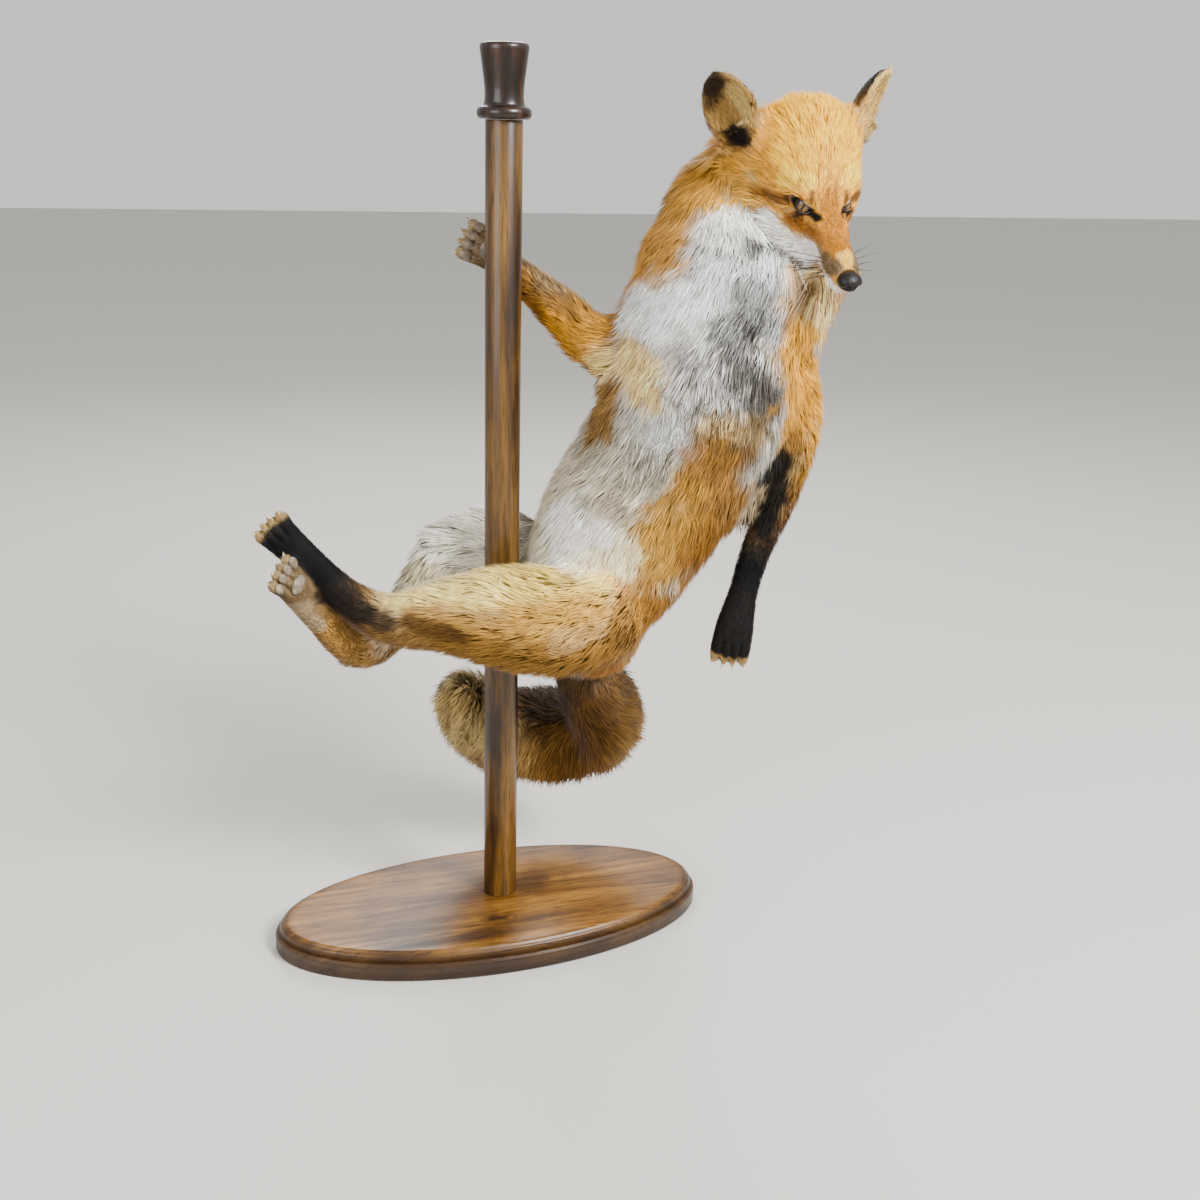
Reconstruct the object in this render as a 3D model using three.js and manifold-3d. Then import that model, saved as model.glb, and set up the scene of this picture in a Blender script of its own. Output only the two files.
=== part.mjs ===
// A mounted red fox, life size, swinging on the pole of its own wooden stand.
// Millimetres, +Z up. The origin is the middle of the underside of the oval base,
// +X runs along the base's long axis and the fox's belly faces -Y.
// Each solid of the fox is the outline of the coat. The flesh is modelled as swept
// tubes of oval section, divided across the joints into the lengths a person would name.
import * as THREE from 'three';
import { mergeVertices } from 'three/addons/utils/BufferGeometryUtils.js';
import Module from 'manifold-3d';

const wasm = await Module();
wasm.setup();

// ---------------------------------------------------------------- driving dimensions
const GAP = 0.3; // clearance between pieces that touch

// stand
const BASE_HALF_LENGTH = 212;
const BASE_HALF_WIDTH = 100;
const BASE_THICKNESS = 26.6;
const POLE_RADIUS = 15.9;
const POLE_X = 9.6;
const POLE_Y = 7.7;
const POLE_TOP = 755.5;
const CAP_HEIGHT = 60;

// trunk, from the neck behind the skull down to the rump
const NAPE = [250, -10, 724];
const NECK = [238, -7, 690];
const THROAT = [226, -20, 645];
const SHOULDERS = [198, -29, 583];
const CHEST = [180, -29, 523];
const LOIN = [157, -21, 462];
const BELLY = [124, -10, 403];
const PELVIS = [98, -6, 343];
const RUMP = [92, -4, 291];

// head, placed by the point between the eyes and turned about that point
const EYES_AT = [265, -79, 693];
const HEAD_TURN = -83.5; // degrees from +X, seen from above
const HEAD_NOD = 38.5; // degrees down
const HEAD_TILT = 4; // degrees towards its right shoulder
const EYE_RADIUS = 9.5;
const EYE_FORWARD = 0;
const EYE_SIDE = 17.5;
const EYE_LIFT = 4;

// shades of the plain solids
const ORANGE = 0xc98a45;
const CREAM = 0xe4ddd2;
const GREY = 0xb4aea6;
const BLACK = 0x1c1817;
const WOOD = 0x7a5128;
const DARK_WOOD = 0x2c201a;

// ---------------------------------------------------------------- tools for shaping
const vector = (point) => new THREE.Vector3(...point);

// Closed skin over rings of equal count, with a point at either end.
function ringSolid(rings, firstPoint, lastPoint) {
  const count = rings[0].length;
  const positions = [];
  const faces = [];
  for (const ring of rings) {
    for (const point of ring) positions.push(point.x, point.y, point.z);
  }
  const first = rings.length * count;
  positions.push(firstPoint.x, firstPoint.y, firstPoint.z);
  positions.push(lastPoint.x, lastPoint.y, lastPoint.z);
  for (let i = 0; i < count; i += 1) {
    const j = (i + 1) % count;
    faces.push(first, j, i);
    for (let r = 0; r + 1 < rings.length; r += 1) {
      const a = r * count;
      const b = a + count;
      faces.push(a + i, a + j, b + i);
      faces.push(a + j, b + j, b + i);
    }
    const last = (rings.length - 1) * count;
    faces.push(first + 1, last + i, last + j);
  }
  const geometry = new THREE.BufferGeometry();
  geometry.setAttribute('position', new THREE.Float32BufferAttribute(positions, 3));
  geometry.setIndex(faces);
  return geometry;
}

// A limb is a smooth line through its stations. Each station is a centre with the
// half width across the limb and the half depth the other way.
function limb(across, stations) {
  const line = new THREE.CatmullRomCurve3(stations.map((s) => vector(s.at)));
  const sizes = new THREE.CatmullRomCurve3(
    stations.map((s) => new THREE.Vector3(s.wide, s.deep, 0)),
  );
  return { across: vector(across), line, sizes, steps: stations.length - 1 };
}

function frameAt(shape, t) {
  const along = shape.line.getTangent(t).normalize();
  const side = shape.across.clone().addScaledVector(along, -shape.across.dot(along)).normalize();
  const up = new THREE.Vector3().crossVectors(along, side);
  return { at: shape.line.getPoint(t), along, side, up, size: shape.sizes.getPoint(t) };
}

function ovalRing(frame, shift, scale, grow, sides) {
  const ring = [];
  for (let i = 0; i < sides; i += 1) {
    const angle = (2 * Math.PI * i) / sides;
    const point = frame.at.clone().addScaledVector(frame.along, shift);
    point.addScaledVector(frame.side, (frame.size.x * scale + grow) * Math.cos(angle));
    point.addScaledVector(frame.up, (frame.size.y * scale + grow) * Math.sin(angle));
    ring.push(point);
  }
  return ring;
}

// One length of a limb between two stations. An end at the limb's own end is a dome,
// an end inside the limb is a flat cut that leaves half the gap. A grown length is the
// room it needs, and runs a little past its cuts.
function length(shape, from, to, sides, perStation, grow = 0) {
  const DOME_ANGLES = [75, 50, 25];
  const rings = [];
  const domeAt = (t, sign) => {
    const frame = frameAt(shape, t / shape.steps);
    const reach = 0.8 * Math.min(frame.size.x, frame.size.y);
    const dome = DOME_ANGLES.map((degrees) => {
      const angle = THREE.MathUtils.degToRad(degrees);
      return ovalRing(frame, sign * reach * Math.sin(angle), Math.cos(angle), grow, sides);
    });
    const tip = frame.at.clone().addScaledVector(frame.along, sign * (reach + grow));
    return { dome, tip };
  };
  const cutAt = (t, sign) => {
    const frame = frameAt(shape, t / shape.steps);
    const shift = sign * (GAP / 2 - grow);
    const centre = frame.at.clone().addScaledVector(frame.along, shift);
    return { ring: ovalRing(frame, shift, 1, grow, sides), centre };
  };
  let firstPoint;
  let lastPoint;
  if (from === 0) {
    const start = domeAt(0, -1);
    rings.push(...start.dome, ovalRing(frameAt(shape, 0), 0, 1, grow, sides));
    firstPoint = start.tip;
  } else {
    const start = cutAt(from, 1);
    rings.push(start.ring);
    firstPoint = start.centre;
  }
  const count = Math.max(1, Math.round((to - from) * perStation));
  for (let i = 1; i < count; i += 1) {
    const t = from + ((to - from) * i) / count;
    rings.push(ovalRing(frameAt(shape, t / shape.steps), 0, 1, grow, sides));
  }
  if (to === shape.steps) {
    const end = domeAt(to, 1);
    rings.push(ovalRing(frameAt(shape, 1), 0, 1, grow, sides), ...end.dome.reverse());
    lastPoint = end.tip;
  } else {
    const end = cutAt(to, -1);
    rings.push(end.ring);
    lastPoint = end.centre;
  }
  return solidOf(ringSolid(rings, firstPoint, lastPoint));
}

function solidOf(geometry) {
  const bare = geometry.clone();
  bare.deleteAttribute('normal');
  bare.deleteAttribute('uv');
  const merged = mergeVertices(bare, 1e-4);
  const vertProperties = new Float32Array(merged.attributes.position.array);
  const triVerts = new Uint32Array(merged.index.array);
  return new wasm.Manifold(new wasm.Mesh({ numProp: 3, vertProperties, triVerts }));
}

function geometryOf(solid) {
  const mesh = solid.getMesh();
  const geometry = new THREE.BufferGeometry();
  geometry.setAttribute('position', new THREE.BufferAttribute(mesh.vertProperties, 3));
  geometry.setIndex(new THREE.BufferAttribute(mesh.triVerts, 1));
  return geometry;
}

// What is left of a solid when others are cut away, keeping its main body only.
function without(solid, ...others) {
  const rest = others.reduce((left, other) => left.subtract(other), solid);
  const bodies = rest.decompose().sort((a, b) => b.volume() - a.volume());
  return bodies[0];
}

// The room that all the lengths of a limb need together.
function roomFor(shape, lengths, sides, perStation) {
  const parts = lengths.map(([, from, to]) => length(shape, from, to, sides, perStation, GAP));
  return parts.reduce((all, part) => all.add(part));
}

// ---------------------------------------------------------------- stand
const fox = new THREE.Group();

function addNode(name, geometry, color, roughness = 0.9) {
  const material = new THREE.MeshStandardMaterial({ color, roughness, metalness: 0 });
  const mesh = new THREE.Mesh(geometry, material);
  mesh.name = name;
  fox.add(mesh);
}

// Oval board with a routed edge: upright side, a small step, then a cove up to the top.
function baseBoard() {
  const EDGE = [
    [2.0, 0], [0, 1.8], [0, 14], [1.2, 15.6], [3.4, 16.2],
    [3.8, 18.4], [4.8, 21.6], [6.6, 24.4], [9.2, 26.0], [11, BASE_THICKNESS],
  ];
  const SIDES = 44;
  const rings = EDGE.map(([inset, height]) => {
    const ring = [];
    for (let i = 0; i < SIDES; i += 1) {
      const angle = (2 * Math.PI * i) / SIDES;
      const x = (BASE_HALF_LENGTH - inset) * Math.cos(angle);
      const y = (BASE_HALF_WIDTH - inset) * Math.sin(angle);
      ring.push(new THREE.Vector3(x, y, height));
    }
    return ring;
  });
  return ringSolid(rings, new THREE.Vector3(0, 0, 0), new THREE.Vector3(0, 0, BASE_THICKNESS));
}

function pole(radius) {
  const bottom = BASE_THICKNESS + GAP;
  const height = POLE_TOP - bottom;
  const cylinder = new THREE.CylinderGeometry(radius, radius, height, 32);
  cylinder.rotateX(Math.PI / 2);
  cylinder.translate(POLE_X, POLE_Y, bottom + height / 2);
  return cylinder;
}

// Turned finial: a rounded flange that sits on the pole, a waist and a flaring top.
function poleCap() {
  const PROFILE = [
    [0, 0], [20.5, 0], [22.5, 1.6], [23, 5.5], [22, 9], [18.2, 10.4], [16.8, 13.5],
    [16.4, 18], [17, 28], [18.8, 42], [20.4, 53], [20.6, 56], [19.4, 58.6], [17, CAP_HEIGHT],
    [0, CAP_HEIGHT],
  ];
  const lathe = new THREE.LatheGeometry(PROFILE.map(([r, h]) => new THREE.Vector2(r, h)), 20);
  lathe.rotateX(Math.PI / 2);
  lathe.translate(POLE_X, POLE_Y, POLE_TOP + GAP);
  return geometryOf(solidOf(lathe));
}

addNode('base_board', baseBoard(), WOOD, 0.35);
addNode('pole', pole(POLE_RADIUS), WOOD, 0.4);
addNode('pole_cap', poleCap(), DARK_WOOD, 0.3);
const poleRoom = solidOf(pole(POLE_RADIUS + GAP));

// ---------------------------------------------------------------- trunk and neck
const trunk = limb([0.88, -0.35, -0.3], [
  { at: NAPE, wide: 60, deep: 48 },
  { at: NECK, wide: 79, deep: 53 },
  { at: THROAT, wide: 94, deep: 70 },
  { at: SHOULDERS, wide: 91, deep: 74 },
  { at: CHEST, wide: 91, deep: 74 },
  { at: LOIN, wide: 86, deep: 70 },
  { at: BELLY, wide: 83, deep: 66 },
  { at: PELVIS, wide: 73, deep: 60 },
  { at: RUMP, wide: 50, deep: 46 },
]);
const TRUNK_SIDES = 20;
const TRUNK_LENGTHS = [
  ['neck', 0, 2.3, ORANGE],
  ['chest', 2.3, 4.6, CREAM],
  ['belly', 4.6, 6.4, GREY],
  ['pelvis', 6.4, 8, ORANGE],
];
for (const [name, from, to, shade] of TRUNK_LENGTHS) {
  const solid = length(trunk, from, to, TRUNK_SIDES, 2);
  addNode(name, geometryOf(without(solid, poleRoom)), shade);
}
const trunkRoom = roomFor(trunk, TRUNK_LENGTHS, TRUNK_SIDES, 2);

// ---------------------------------------------------------------- head
// Head frame: x forward to the nose, y to its left, z up, from the point between the eyes.
const headTurn = new THREE.Matrix4().makeRotationFromEuler(
  new THREE.Euler(
    THREE.MathUtils.degToRad(HEAD_TILT),
    THREE.MathUtils.degToRad(HEAD_NOD),
    THREE.MathUtils.degToRad(HEAD_TURN),
    'ZYX',
  ),
);
const headPlace = new THREE.Matrix4().setPosition(...EYES_AT).multiply(headTurn);

// Sections of the head: how far forward, half width, top, widest level and bottom.
const HEAD_SECTIONS = [
  { x: -88, half: 36, top: 46, level: -4, bottom: -42 },
  { x: -72, half: 54, top: 59, level: -8, bottom: -54 },
  { x: -54, half: 57, top: 60, level: -12, bottom: -58 },
  { x: -36, half: 56, top: 53, level: -16, bottom: -57 },
  { x: -21, half: 51, top: 43, level: -18, bottom: -54 },
  { x: -8, half: 44, top: 32, level: -18, bottom: -50 },
  { x: 3, half: 35, top: 22, level: -16, bottom: -46 },
  { x: 13, half: 28, top: 14, level: -16, bottom: -43 },
  { x: 24, half: 22.5, top: 8, level: -17, bottom: -41 },
  { x: 37, half: 19, top: 3, level: -18, bottom: -39 },
  { x: 50, half: 17, top: 0, level: -19, bottom: -37 },
  { x: 62, half: 15.5, top: -3, level: -19, bottom: -35 },
  { x: 72, half: 12.5, top: -7, level: -19, bottom: -31 },
  { x: 78, half: 7.5, top: -12, level: -18, bottom: -25 },
];
const HEAD_BACK = [-96, 0]; // forward, height
const MUZZLE_END = [80, -18];
const HEAD_SIDES = 20;
const HEAD_SQUARENESS = 2.3;

function headSkin(grow) {
  const rings = HEAD_SECTIONS.map(({ x, half, top, level, bottom }) => {
    const ring = [];
    for (let i = 0; i < HEAD_SIDES; i += 1) {
      const angle = (2 * Math.PI * i) / HEAD_SIDES;
      const bulge = (value) => Math.sign(value) * Math.abs(value) ** (2 / HEAD_SQUARENESS);
      const rise = bulge(Math.sin(angle));
      const reach = rise > 0 ? top - level : level - bottom;
      const y = (half + grow) * bulge(Math.cos(angle));
      const z = level + (reach + grow) * rise;
      ring.push(new THREE.Vector3(x, y, z).applyMatrix4(headPlace));
    }
    return ring;
  });
  const back = new THREE.Vector3(HEAD_BACK[0] - grow, 0, HEAD_BACK[1]).applyMatrix4(headPlace);
  const front = new THREE.Vector3(MUZZLE_END[0] + grow, 0, MUZZLE_END[1]);
  front.applyMatrix4(headPlace);
  return solidOf(ringSolid(rings, back, front));
}

function ball(x, y, z, rx, ry, rz, grow = 0, around = 16, down = 10) {
  const sphere = new THREE.SphereGeometry(1, around, down);
  sphere.scale(rx + grow, ry + grow, rz + grow);
  sphere.translate(x, y, z);
  sphere.applyMatrix4(headPlace);
  return solidOf(sphere);
}

const NOSE_AT = [75, 0, -13.5];
const NOSE_SIZE = [9, 11, 8];
const OPENING_AT = [10, 26.5, 8];
const OPENING_SIZE = [9, 6, 6];
const nosePad = (grow) => ball(...NOSE_AT, ...NOSE_SIZE, grow, 10, 7);
const eyeOpening = (side) => {
  const [forward, outward, lift] = OPENING_AT;
  return ball(forward, side * outward, lift, ...OPENING_SIZE, 0, 10, 6);
};
let head = without(headSkin(0), trunkRoom, nosePad(GAP));
for (const [name, side] of [['left', 1], ['right', -1]]) {
  const eye = [EYE_FORWARD, side * EYE_SIDE, EYE_LIFT, EYE_RADIUS, EYE_RADIUS, EYE_RADIUS];
  head = without(head, ball(...eye, GAP, 10, 7), eyeOpening(side));
  addNode(`eye_${name}`, geometryOf(ball(...eye, 0, 10, 7)), BLACK, 0.1);
}
addNode('head', geometryOf(head), ORANGE);
addNode('nose_pad', geometryOf(nosePad(0)), BLACK, 0.4);
const headRoom = headSkin(GAP);

// ---------------------------------------------------------------- ears
// Each ear is a leaf rolled into an open cone: rings run from the root to the tip, and
// a smaller leaf, set forward of it, hollows the side that faces out.
const EAR_ROOT = [-66, 56, 20];
const EAR_TIP = [-96, 86, 66];
const EAR_FACING = [0.5, 0.7, 0.35];
const EAR_LENGTH = 63;
const EAR_HALF_WIDTH = 26;
const EAR_HALF_DEPTH = 15;
const EAR_HOLLOW_SCALE = 0.86;
const EAR_HOLLOW_SHIFT = 9;

function earLeaf(side, start, scale, shift) {
  const LEVELS = 7;
  const SIDES = 12;
  const mirrored = (point) => new THREE.Vector3(point[0], side * point[1], point[2]);
  const root = mirrored(EAR_ROOT);
  const along = mirrored(EAR_TIP).sub(root).normalize();
  const facing = mirrored(EAR_FACING);
  facing.addScaledVector(along, -facing.dot(along)).normalize();
  const across = new THREE.Vector3().crossVectors(facing, along);
  const centreAt = (t) => {
    const reach = (start + (1 - start) * t) * EAR_LENGTH * (t > 0.9 ? scale : 1);
    return root.clone().addScaledVector(along, reach).addScaledVector(facing, shift);
  };
  const rings = [];
  for (let level = 0; level < LEVELS; level += 1) {
    const t = level / LEVELS;
    const swell = scale * Math.sin(Math.PI * (0.22 + 0.78 * t)) ** 0.6;
    const ring = [];
    for (let i = 0; i < SIDES; i += 1) {
      const angle = (2 * Math.PI * i) / SIDES;
      const point = centreAt(t).addScaledVector(across, EAR_HALF_WIDTH * swell * Math.cos(angle));
      point.addScaledVector(facing, EAR_HALF_DEPTH * swell * Math.sin(angle));
      ring.push(point.applyMatrix4(headPlace));
    }
    rings.push(ring);
  }
  const bottom = centreAt(0).applyMatrix4(headPlace);
  const tip = centreAt(1).applyMatrix4(headPlace);
  return solidOf(ringSolid(rings, bottom, tip));
}

for (const [name, side] of [['left', 1], ['right', -1]]) {
  const hollow = earLeaf(side, 0.22, EAR_HOLLOW_SCALE, EAR_HOLLOW_SHIFT);
  const ear = without(earLeaf(side, -0.1, 1, 0), hollow, headRoom, trunkRoom);
  addNode(`ear_${name}`, geometryOf(ear), CREAM);
}

// ---------------------------------------------------------------- legs
const TOE_COUNT = 4;
const CLAW_RADIUS = 2.2;

// Toes fan out past the end of a foot, each with its claw, and are joined to the foot.
function toes(shape, { spread, reach, radius, claw }) {
  const end = frameAt(shape, 1);
  const parts = [];
  for (let i = 0; i < TOE_COUNT; i += 1) {
    const place = (2 * i) / (TOE_COUNT - 1) - 1;
    const heading = end.along.clone().addScaledVector(end.side, 0.2 * place).normalize();
    const turn = new THREE.Quaternion().setFromUnitVectors(new THREE.Vector3(0, 1, 0), heading);
    const centre = end.at.clone().addScaledVector(end.side, place * spread);
    centre.addScaledVector(end.along, reach * (0.9 - 0.4 * Math.abs(place)));
    const toe = new THREE.SphereGeometry(1, 6, 5);
    toe.scale(radius, 1.7 * radius, radius);
    const nail = new THREE.ConeGeometry(CLAW_RADIUS, claw + radius, 4);
    nail.translate(0, 1.2 * radius + claw / 2, 0);
    for (const piece of [toe, nail]) {
      piece.applyQuaternion(turn);
      piece.translate(centre.x, centre.y, centre.z);
      parts.push(solidOf(piece));
    }
  }
  return parts.reduce((all, part) => all.add(part));
}

function addLimb(shape, lengths, sides, perStation, rooms, foot) {
  for (const [name, from, to, shade] of lengths) {
    let solid = length(shape, from, to, sides, perStation);
    if (foot && to === shape.steps) solid = solid.add(toes(shape, foot));
    addNode(name, geometryOf(without(solid, ...rooms)), shade);
  }
  const room = roomFor(shape, lengths, sides, perStation);
  return foot ? room.add(toes(shape, { ...foot, radius: foot.radius + GAP })) : room;
}

// The left foreleg hangs beside the chest, and the right one reaches behind the pole.
const hangingArm = limb([0.95, -0.3, 0], [
  { at: [253, -50, 585], wide: 27, deep: 30 },
  { at: [267, -52, 533], wide: 26, deep: 30 },
  { at: [272, -52, 483], wide: 22, deep: 25 },
  { at: [254, -56, 430], wide: 20, deep: 21 },
  { at: [233, -63, 386], wide: 16, deep: 17 },
  { at: [220, -69, 348], wide: 15, deep: 14 },
  { at: [212, -73, 318], wide: 19, deep: 15 },
  { at: [208, -75, 296], wide: 20, deep: 12 },
]);
const FORE_TOES = { spread: 13, reach: 8, radius: 7, claw: 5 };
addLimb(hangingArm, [
  ['foreleg_left_upper', 0, 2.2, ORANGE],
  ['foreleg_left_lower', 2.2, 5, BLACK],
  ['forefoot_left', 5, 7, BLACK],
], 12, 2, [trunkRoom], FORE_TOES);

const grippingArm = limb([0, 0, 1], [
  { at: [158, -20, 580], wide: 34, deep: 28 },
  { at: [124, -4, 568], wide: 36, deep: 29 },
  { at: [98, 8, 569], wide: 31, deep: 26 },
  { at: [75, 20, 587], wide: 25, deep: 20 },
  { at: [50, 32, 611], wide: 19, deep: 17 },
  { at: [26, 41, 629], wide: 16, deep: 14 },
  { at: [6, 43, 646], wide: 18, deep: 11 },
  { at: [-6, 42, 652], wide: 19, deep: 10 },
]);
addLimb(grippingArm, [
  ['foreleg_right_upper', 0, 2.2, ORANGE],
  ['foreleg_right_lower', 2.2, 5.2, ORANGE],
  ['forefoot_right', 5.2, 7, BLACK],
], 12, 2, [trunkRoom, poleRoom], FORE_TOES);

// The hind legs are stretched out and clasp the pole, left in front and right behind,
// and the feet are crossed beyond it.
const nearLeg = limb([0, 0, 1], [
  { at: [98, -50, 336], wide: 52, deep: 42 },
  { at: [54, -55, 330], wide: 56, deep: 44 },
  { at: [4, -52, 335], wide: 53, deep: 42 },
  { at: [-50, -31, 334], wide: 38, deep: 31 },
  { at: [-89, -10, 327], wide: 28, deep: 24 },
  { at: [-114, 1, 332], wide: 23, deep: 19 },
  { at: [-144, 6, 358], wide: 16, deep: 13 },
  { at: [-173, 13, 387], wide: 17, deep: 12 },
  { at: [-190, 18, 405], wide: 18, deep: 11 },
]);
const HIND_TOES = { spread: 13, reach: 9, radius: 7, claw: 5 };
const nearLegRoom = addLimb(nearLeg, [
  ['thigh_left', 0, 2.2, ORANGE],
  ['shank_left', 2.2, 4.7, ORANGE],
  ['hindfoot_left', 4.7, 8, BLACK],
], 12, 2, [trunkRoom, poleRoom], HIND_TOES);

const farLeg = limb([0, 0, 1], [
  { at: [94, 18, 331], wide: 50, deep: 36 },
  { at: [39, 58, 351], wide: 56, deep: 36 },
  { at: [-18, 74, 362], wide: 43, deep: 34 },
  { at: [-62, 61, 320], wide: 25, deep: 23 },
  { at: [-97, 42, 287], wide: 20, deep: 18 },
  { at: [-122, 36, 283], wide: 20, deep: 17 },
  { at: [-152, 21, 320], wide: 18, deep: 14 },
  { at: [-174, 2, 353], wide: 18, deep: 12 },
  { at: [-189, -13, 374], wide: 17, deep: 11 },
]);
const farLegRoom = addLimb(farLeg, [
  ['thigh_right', 0, 2.2, CREAM],
  ['shank_right', 2.2, 4.6, ORANGE],
  ['hindfoot_right', 4.6, 8, CREAM],
], 12, 2, [trunkRoom, poleRoom, nearLegRoom], HIND_TOES);

// ---------------------------------------------------------------- tail
// The brush drops from the rump and curls round behind the pole to a pale tip.
const tail = limb([0.22, 0.78, 0.59], [
  { at: [84, 11, 276], wide: 30, deep: 30 },
  { at: [108, 36, 229], wide: 40, deep: 38 },
  { at: [134, 71, 171], wide: 48, deep: 44 },
  { at: [120, 104, 145], wide: 51, deep: 46 },
  { at: [86, 122, 140], wide: 52, deep: 46 },
  { at: [45, 123, 148], wide: 47, deep: 44 },
  { at: [12, 106, 176], wide: 42, deep: 40 },
  { at: [-10, 82, 206], wide: 31, deep: 30 },
]);
addLimb(tail, [
  ['tail_root', 0, 1.8, ORANGE],
  ['tail_upper', 1.8, 3.5, ORANGE],
  ['tail_lower', 3.5, 5.2, ORANGE],
  ['tail_tip', 5.2, 7, CREAM],
], 16, 2.5, [trunkRoom, poleRoom, nearLegRoom, farLegRoom]);

export default fox;
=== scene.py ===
import math

import bmesh
import bpy
import numpy as np
from mathutils import Euler, Matrix, Vector
from mathutils.bvhtree import BVHTree
from mathutils.kdtree import KDTree


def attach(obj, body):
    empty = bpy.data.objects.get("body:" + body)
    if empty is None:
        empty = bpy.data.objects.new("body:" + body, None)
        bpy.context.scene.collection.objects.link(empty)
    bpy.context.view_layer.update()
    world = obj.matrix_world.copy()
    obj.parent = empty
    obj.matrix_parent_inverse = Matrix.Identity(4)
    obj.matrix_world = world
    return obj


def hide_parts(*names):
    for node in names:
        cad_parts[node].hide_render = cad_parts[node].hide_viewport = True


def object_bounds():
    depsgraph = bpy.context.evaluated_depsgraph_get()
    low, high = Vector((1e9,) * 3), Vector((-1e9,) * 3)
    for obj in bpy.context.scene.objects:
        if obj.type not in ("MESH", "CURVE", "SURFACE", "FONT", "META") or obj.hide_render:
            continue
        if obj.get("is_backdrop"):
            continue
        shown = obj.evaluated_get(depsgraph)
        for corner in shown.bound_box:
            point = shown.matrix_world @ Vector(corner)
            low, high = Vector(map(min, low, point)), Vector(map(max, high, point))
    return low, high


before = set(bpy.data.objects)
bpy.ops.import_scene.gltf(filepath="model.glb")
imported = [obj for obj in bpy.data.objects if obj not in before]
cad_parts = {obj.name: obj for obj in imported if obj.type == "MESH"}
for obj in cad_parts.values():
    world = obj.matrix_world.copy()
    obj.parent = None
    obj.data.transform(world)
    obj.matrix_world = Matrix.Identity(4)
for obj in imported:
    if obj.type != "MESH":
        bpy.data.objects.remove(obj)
cad_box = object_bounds()
MM = 0.001


def turned_to(x, y, z):
    """The turn that brings the three axes to these directions."""
    return Matrix((Vector(x), Vector(y), Vector(z))).transposed().to_4x4()


# ---------------------------------------------------------------- camera, floor and lights
# A camera a little above the fox's head, in front and to its right, on a pale studio floor.
camera_data = bpy.data.cameras.new("camera")
camera_data.lens = 42
camera_data.sensor_width = 36
camera_data.clip_start = 0.01
camera = bpy.data.objects.new("camera", camera_data)
bpy.context.collection.objects.link(camera)
camera_right = Vector((0.9493, -0.3131, 0.0274))
camera_up = Vector((0.0748, 0.3096, 0.9479))
camera_back = Vector((-0.3053, -0.8978, 0.3173))
turn = turned_to(camera_right, camera_up, camera_back)
camera.matrix_world = Matrix.Translation((-0.3018, -1.1929, 0.7484)) @ turn
bpy.context.scene.camera = camera


def hex_color(code):
    parts = [int(code[i : i + 2], 16) / 255 for i in (0, 2, 4)]
    linear = [c / 12.92 if c <= 0.04045 else ((c + 0.055) / 1.055) ** 2.4 for c in parts]
    return (*linear, 1.0)


def set_inputs(node, inputs):
    """Gives each socket its value, or joins it to another node's socket."""
    for socket, value in inputs.items():
        if isinstance(value, bpy.types.NodeSocket):
            node.id_data.links.new(value, node.inputs[socket])
        else:
            node.inputs[socket].default_value = value


def add_node(tree, kind, inputs=None, **settings):
    made = tree.nodes.new(kind)
    for name, value in settings.items():
        setattr(made, name, value)
    set_inputs(made, inputs or {})
    return made


def start_material(name):
    """A new material, its tree, and its shader already joined to the output."""
    material = bpy.data.materials.new(name)
    material.use_nodes = True
    tree = material.node_tree
    tree.nodes.clear()
    shader = add_node(tree, "ShaderNodeBsdfPrincipled")
    add_node(tree, "ShaderNodeOutputMaterial", {"Surface": shader.outputs[0]})
    return material, tree, shader


def set_stops(ramp, stops):
    elements = ramp.color_ramp.elements
    while len(elements) < len(stops):
        elements.new(0.5)
    for element, (position, code) in zip(elements, stops):
        element.position = position
        element.color = hex_color(code)
    return ramp.outputs["Color"]


# how a Mix node lays one colour over another, and how it multiplies them
OVER = {"data_type": "RGBA", "blend_type": "MIX"}
MULTIPLY = {"data_type": "RGBA", "blend_type": "MULTIPLY"}


def noise_colors(tree, place, stops, stretch=None, **noise):
    """Noise run through a ramp of colours: the noise, and the colour it gives."""
    if stretch:
        place = add_node(tree, "ShaderNodeMapping", {"Vector": place, "Scale": stretch}).outputs[0]
    pattern = add_node(tree, "ShaderNodeTexNoise", {"Vector": place, **noise}).outputs["Fac"]
    ramp = add_node(tree, "ShaderNodeValToRGB", {"Fac": pattern})
    return pattern, set_stops(ramp, stops)


def join_rings(bm, ring, after):
    """A band of faces between two rings of points."""
    for i in range(len(ring)):
        j = (i + 1) % len(ring)
        bm.faces.new((ring[i], ring[j], after[j], after[i]))


def make_object(name, mesh_or_bmesh, material, smooth=True):
    if isinstance(mesh_or_bmesh, bmesh.types.BMesh):
        mesh = bpy.data.meshes.new(name)
        mesh_or_bmesh.to_mesh(mesh)
        mesh_or_bmesh.free()
    else:
        mesh = mesh_or_bmesh
    mesh.materials.append(material)
    if smooth:
        mesh.polygons.foreach_set("use_smooth", np.ones(len(mesh.polygons), bool))
    made = bpy.data.objects.new(name, mesh)
    bpy.context.collection.objects.link(made)
    return made


FLOOR_SIZE = 12.0
floor_material, tree, shader = start_material("matt_pale_floor")
set_inputs(shader, {"Base Color": hex_color("C2BFB9"), "Roughness": 0.7, "Specular IOR Level": 0.3})
bm = bmesh.new()
bmesh.ops.create_grid(bm, x_segments=2, y_segments=2, size=FLOOR_SIZE)
floor = make_object("floor", bm, floor_material, smooth=False)
floor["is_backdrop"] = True

world = bpy.data.worlds.new("studio")
bpy.context.scene.world = world
world.use_nodes = True
world.node_tree.nodes["Background"].inputs["Color"].default_value = hex_color("F1F0EE")
world.node_tree.nodes["Background"].inputs["Strength"].default_value = 1.0

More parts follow.
